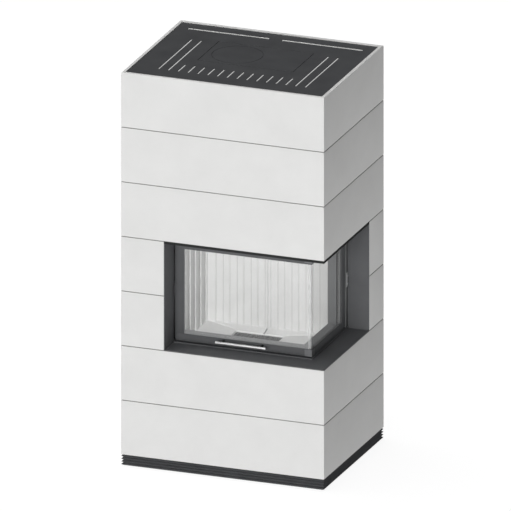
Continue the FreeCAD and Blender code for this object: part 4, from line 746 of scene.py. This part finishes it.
floor_paint, tree, shader, _ = new_finish("pale_studio_floor")
seen = add(tree, "ShaderNodeLightPath").outputs["Is Camera Ray"]
glow = add(tree, "ShaderNodeMapRange",
           {"Value": seen, "To Min": GLOW_ON_THE_OBJECT, "To Max": GLOW_TO_THE_EYE})
feed(tree, shader, {"Base Color": chart("#6E6E6E"), "Roughness": 0.95,
                    "Emission Color": chart("#FFFFFF"),
                    "Emission Strength": glow.outputs["Result"]})
shade_paint, _, shader, _ = new_finish("dark_ground")
shader.inputs["Base Color"].default_value = chart("#303030")
studio_floor = ground_sheet("studio_floor", FLOOR_SIZE, FLOOR_SIZE, FLOOR_DEPTH, floor_paint)
ground_sheet("shade_under_the_plinth", SHADE_LENGTH, SHADE_WIDTH, SHADE_DEPTH, shade_paint)

# %% [markdown]
# ### Lamps
# Two large soft panels light the whole: one in front, one above. A firebox is a cave, though, and
# so is the niche round its door: under those two they would stay nearly black. So the lining has a
# lamp of its own, and the niche and the plinth share another. Light linking keeps each of these to
# its pieces and lets it pass through the blocks, as if the casing were lifted off for a moment.

# %% Lamps
def soft_panel(name, towards, power, spread):
    """A far soft light; towards points from the object to it, spread is its size in degrees."""
    light = bpy.data.lights.new(name, "SUN")
    light.energy = power
    light.angle = math.radians(spread)
    lamp = bpy.data.objects.new(name, light)
    lamp.rotation_euler = Vector(towards).to_track_quat("Z", "Y").to_euler()
    bpy.context.scene.collection.objects.link(lamp)
    return lamp


def gather(name, pieces, state="INCLUDE"):
    """A collection for light linking: the light reaches these pieces alone, or all but these."""
    group = bpy.data.collections.new(name)
    for piece in pieces:
        group.objects.link(piece)
    for entry in group.collection_objects:
        entry.light_linking.link_state = state
    return group


front_panel = soft_panel("front_panel", towards=(0.02, -0.985, 0.14), power=1.72, spread=25)
front_panel.light_linking.receiver_collection = gather("all_but_the_lining", lining, "EXCLUDE")
soft_panel("ceiling_panel", towards=(-0.25, 0.02, 0.97), power=2.05, spread=50)

lining_panel = soft_panel("lining_panel", towards=(0.13, -0.89, 0.42), power=2.20, spread=4)
lining_panel.light_linking.receiver_collection = gather("the_lining", lining)
lining_panel.light_linking.blocker_collection = gather("shades_of_the_lining", lining)

plinth = [frame["nodes"]["plinth_louvres"], frame["nodes"]["plinth_frame"]]
niche_panel = soft_panel("niche_panel", towards=(0.64, -0.20, 0.70), power=0.54, spread=20)
niche_panel.light_linking.receiver_collection = gather("the_niche_and_plinth", niche + plinth)
niche_panel.light_linking.blocker_collection = gather("shades_of_the_niche", [studio_floor])
print("lamps:", len(bpy.data.lights))

# %% [markdown]
# ### The room
# A pale room fills in the rest. Its walls are bright on the left and in front and dim on the right,
# so that the right side of the blocks stays two thirds as bright as the front.

# %% Room light
BRIGHT_SIDE = (-0.62, -0.70, 0.35)
DIM_WALL, BRIGHT_WALL = 0.02, 0.55

room = bpy.data.worlds.new("pale_room")
room.use_nodes = True
walls = room.node_tree
towards_wall = add(walls, "ShaderNodeTexCoord").outputs["Generated"]
facing = add(walls, "ShaderNodeVectorMath", {0: towards_wall, 1: BRIGHT_SIDE},
             operation="DOT_PRODUCT")
brightness = add(walls, "ShaderNodeMapRange",
                 {"Value": facing.outputs["Value"], "From Min": -0.1, "From Max": 0.7,
                  "To Min": DIM_WALL, "To Max": BRIGHT_WALL}, interpolation_type="SMOOTHSTEP")
feed(walls, walls.nodes["Background"], {"Strength": brightness.outputs["Result"]})
bpy.context.scene.world = room
bpy.context.scene.view_settings.view_transform = "Standard"
print("room:", room.name)
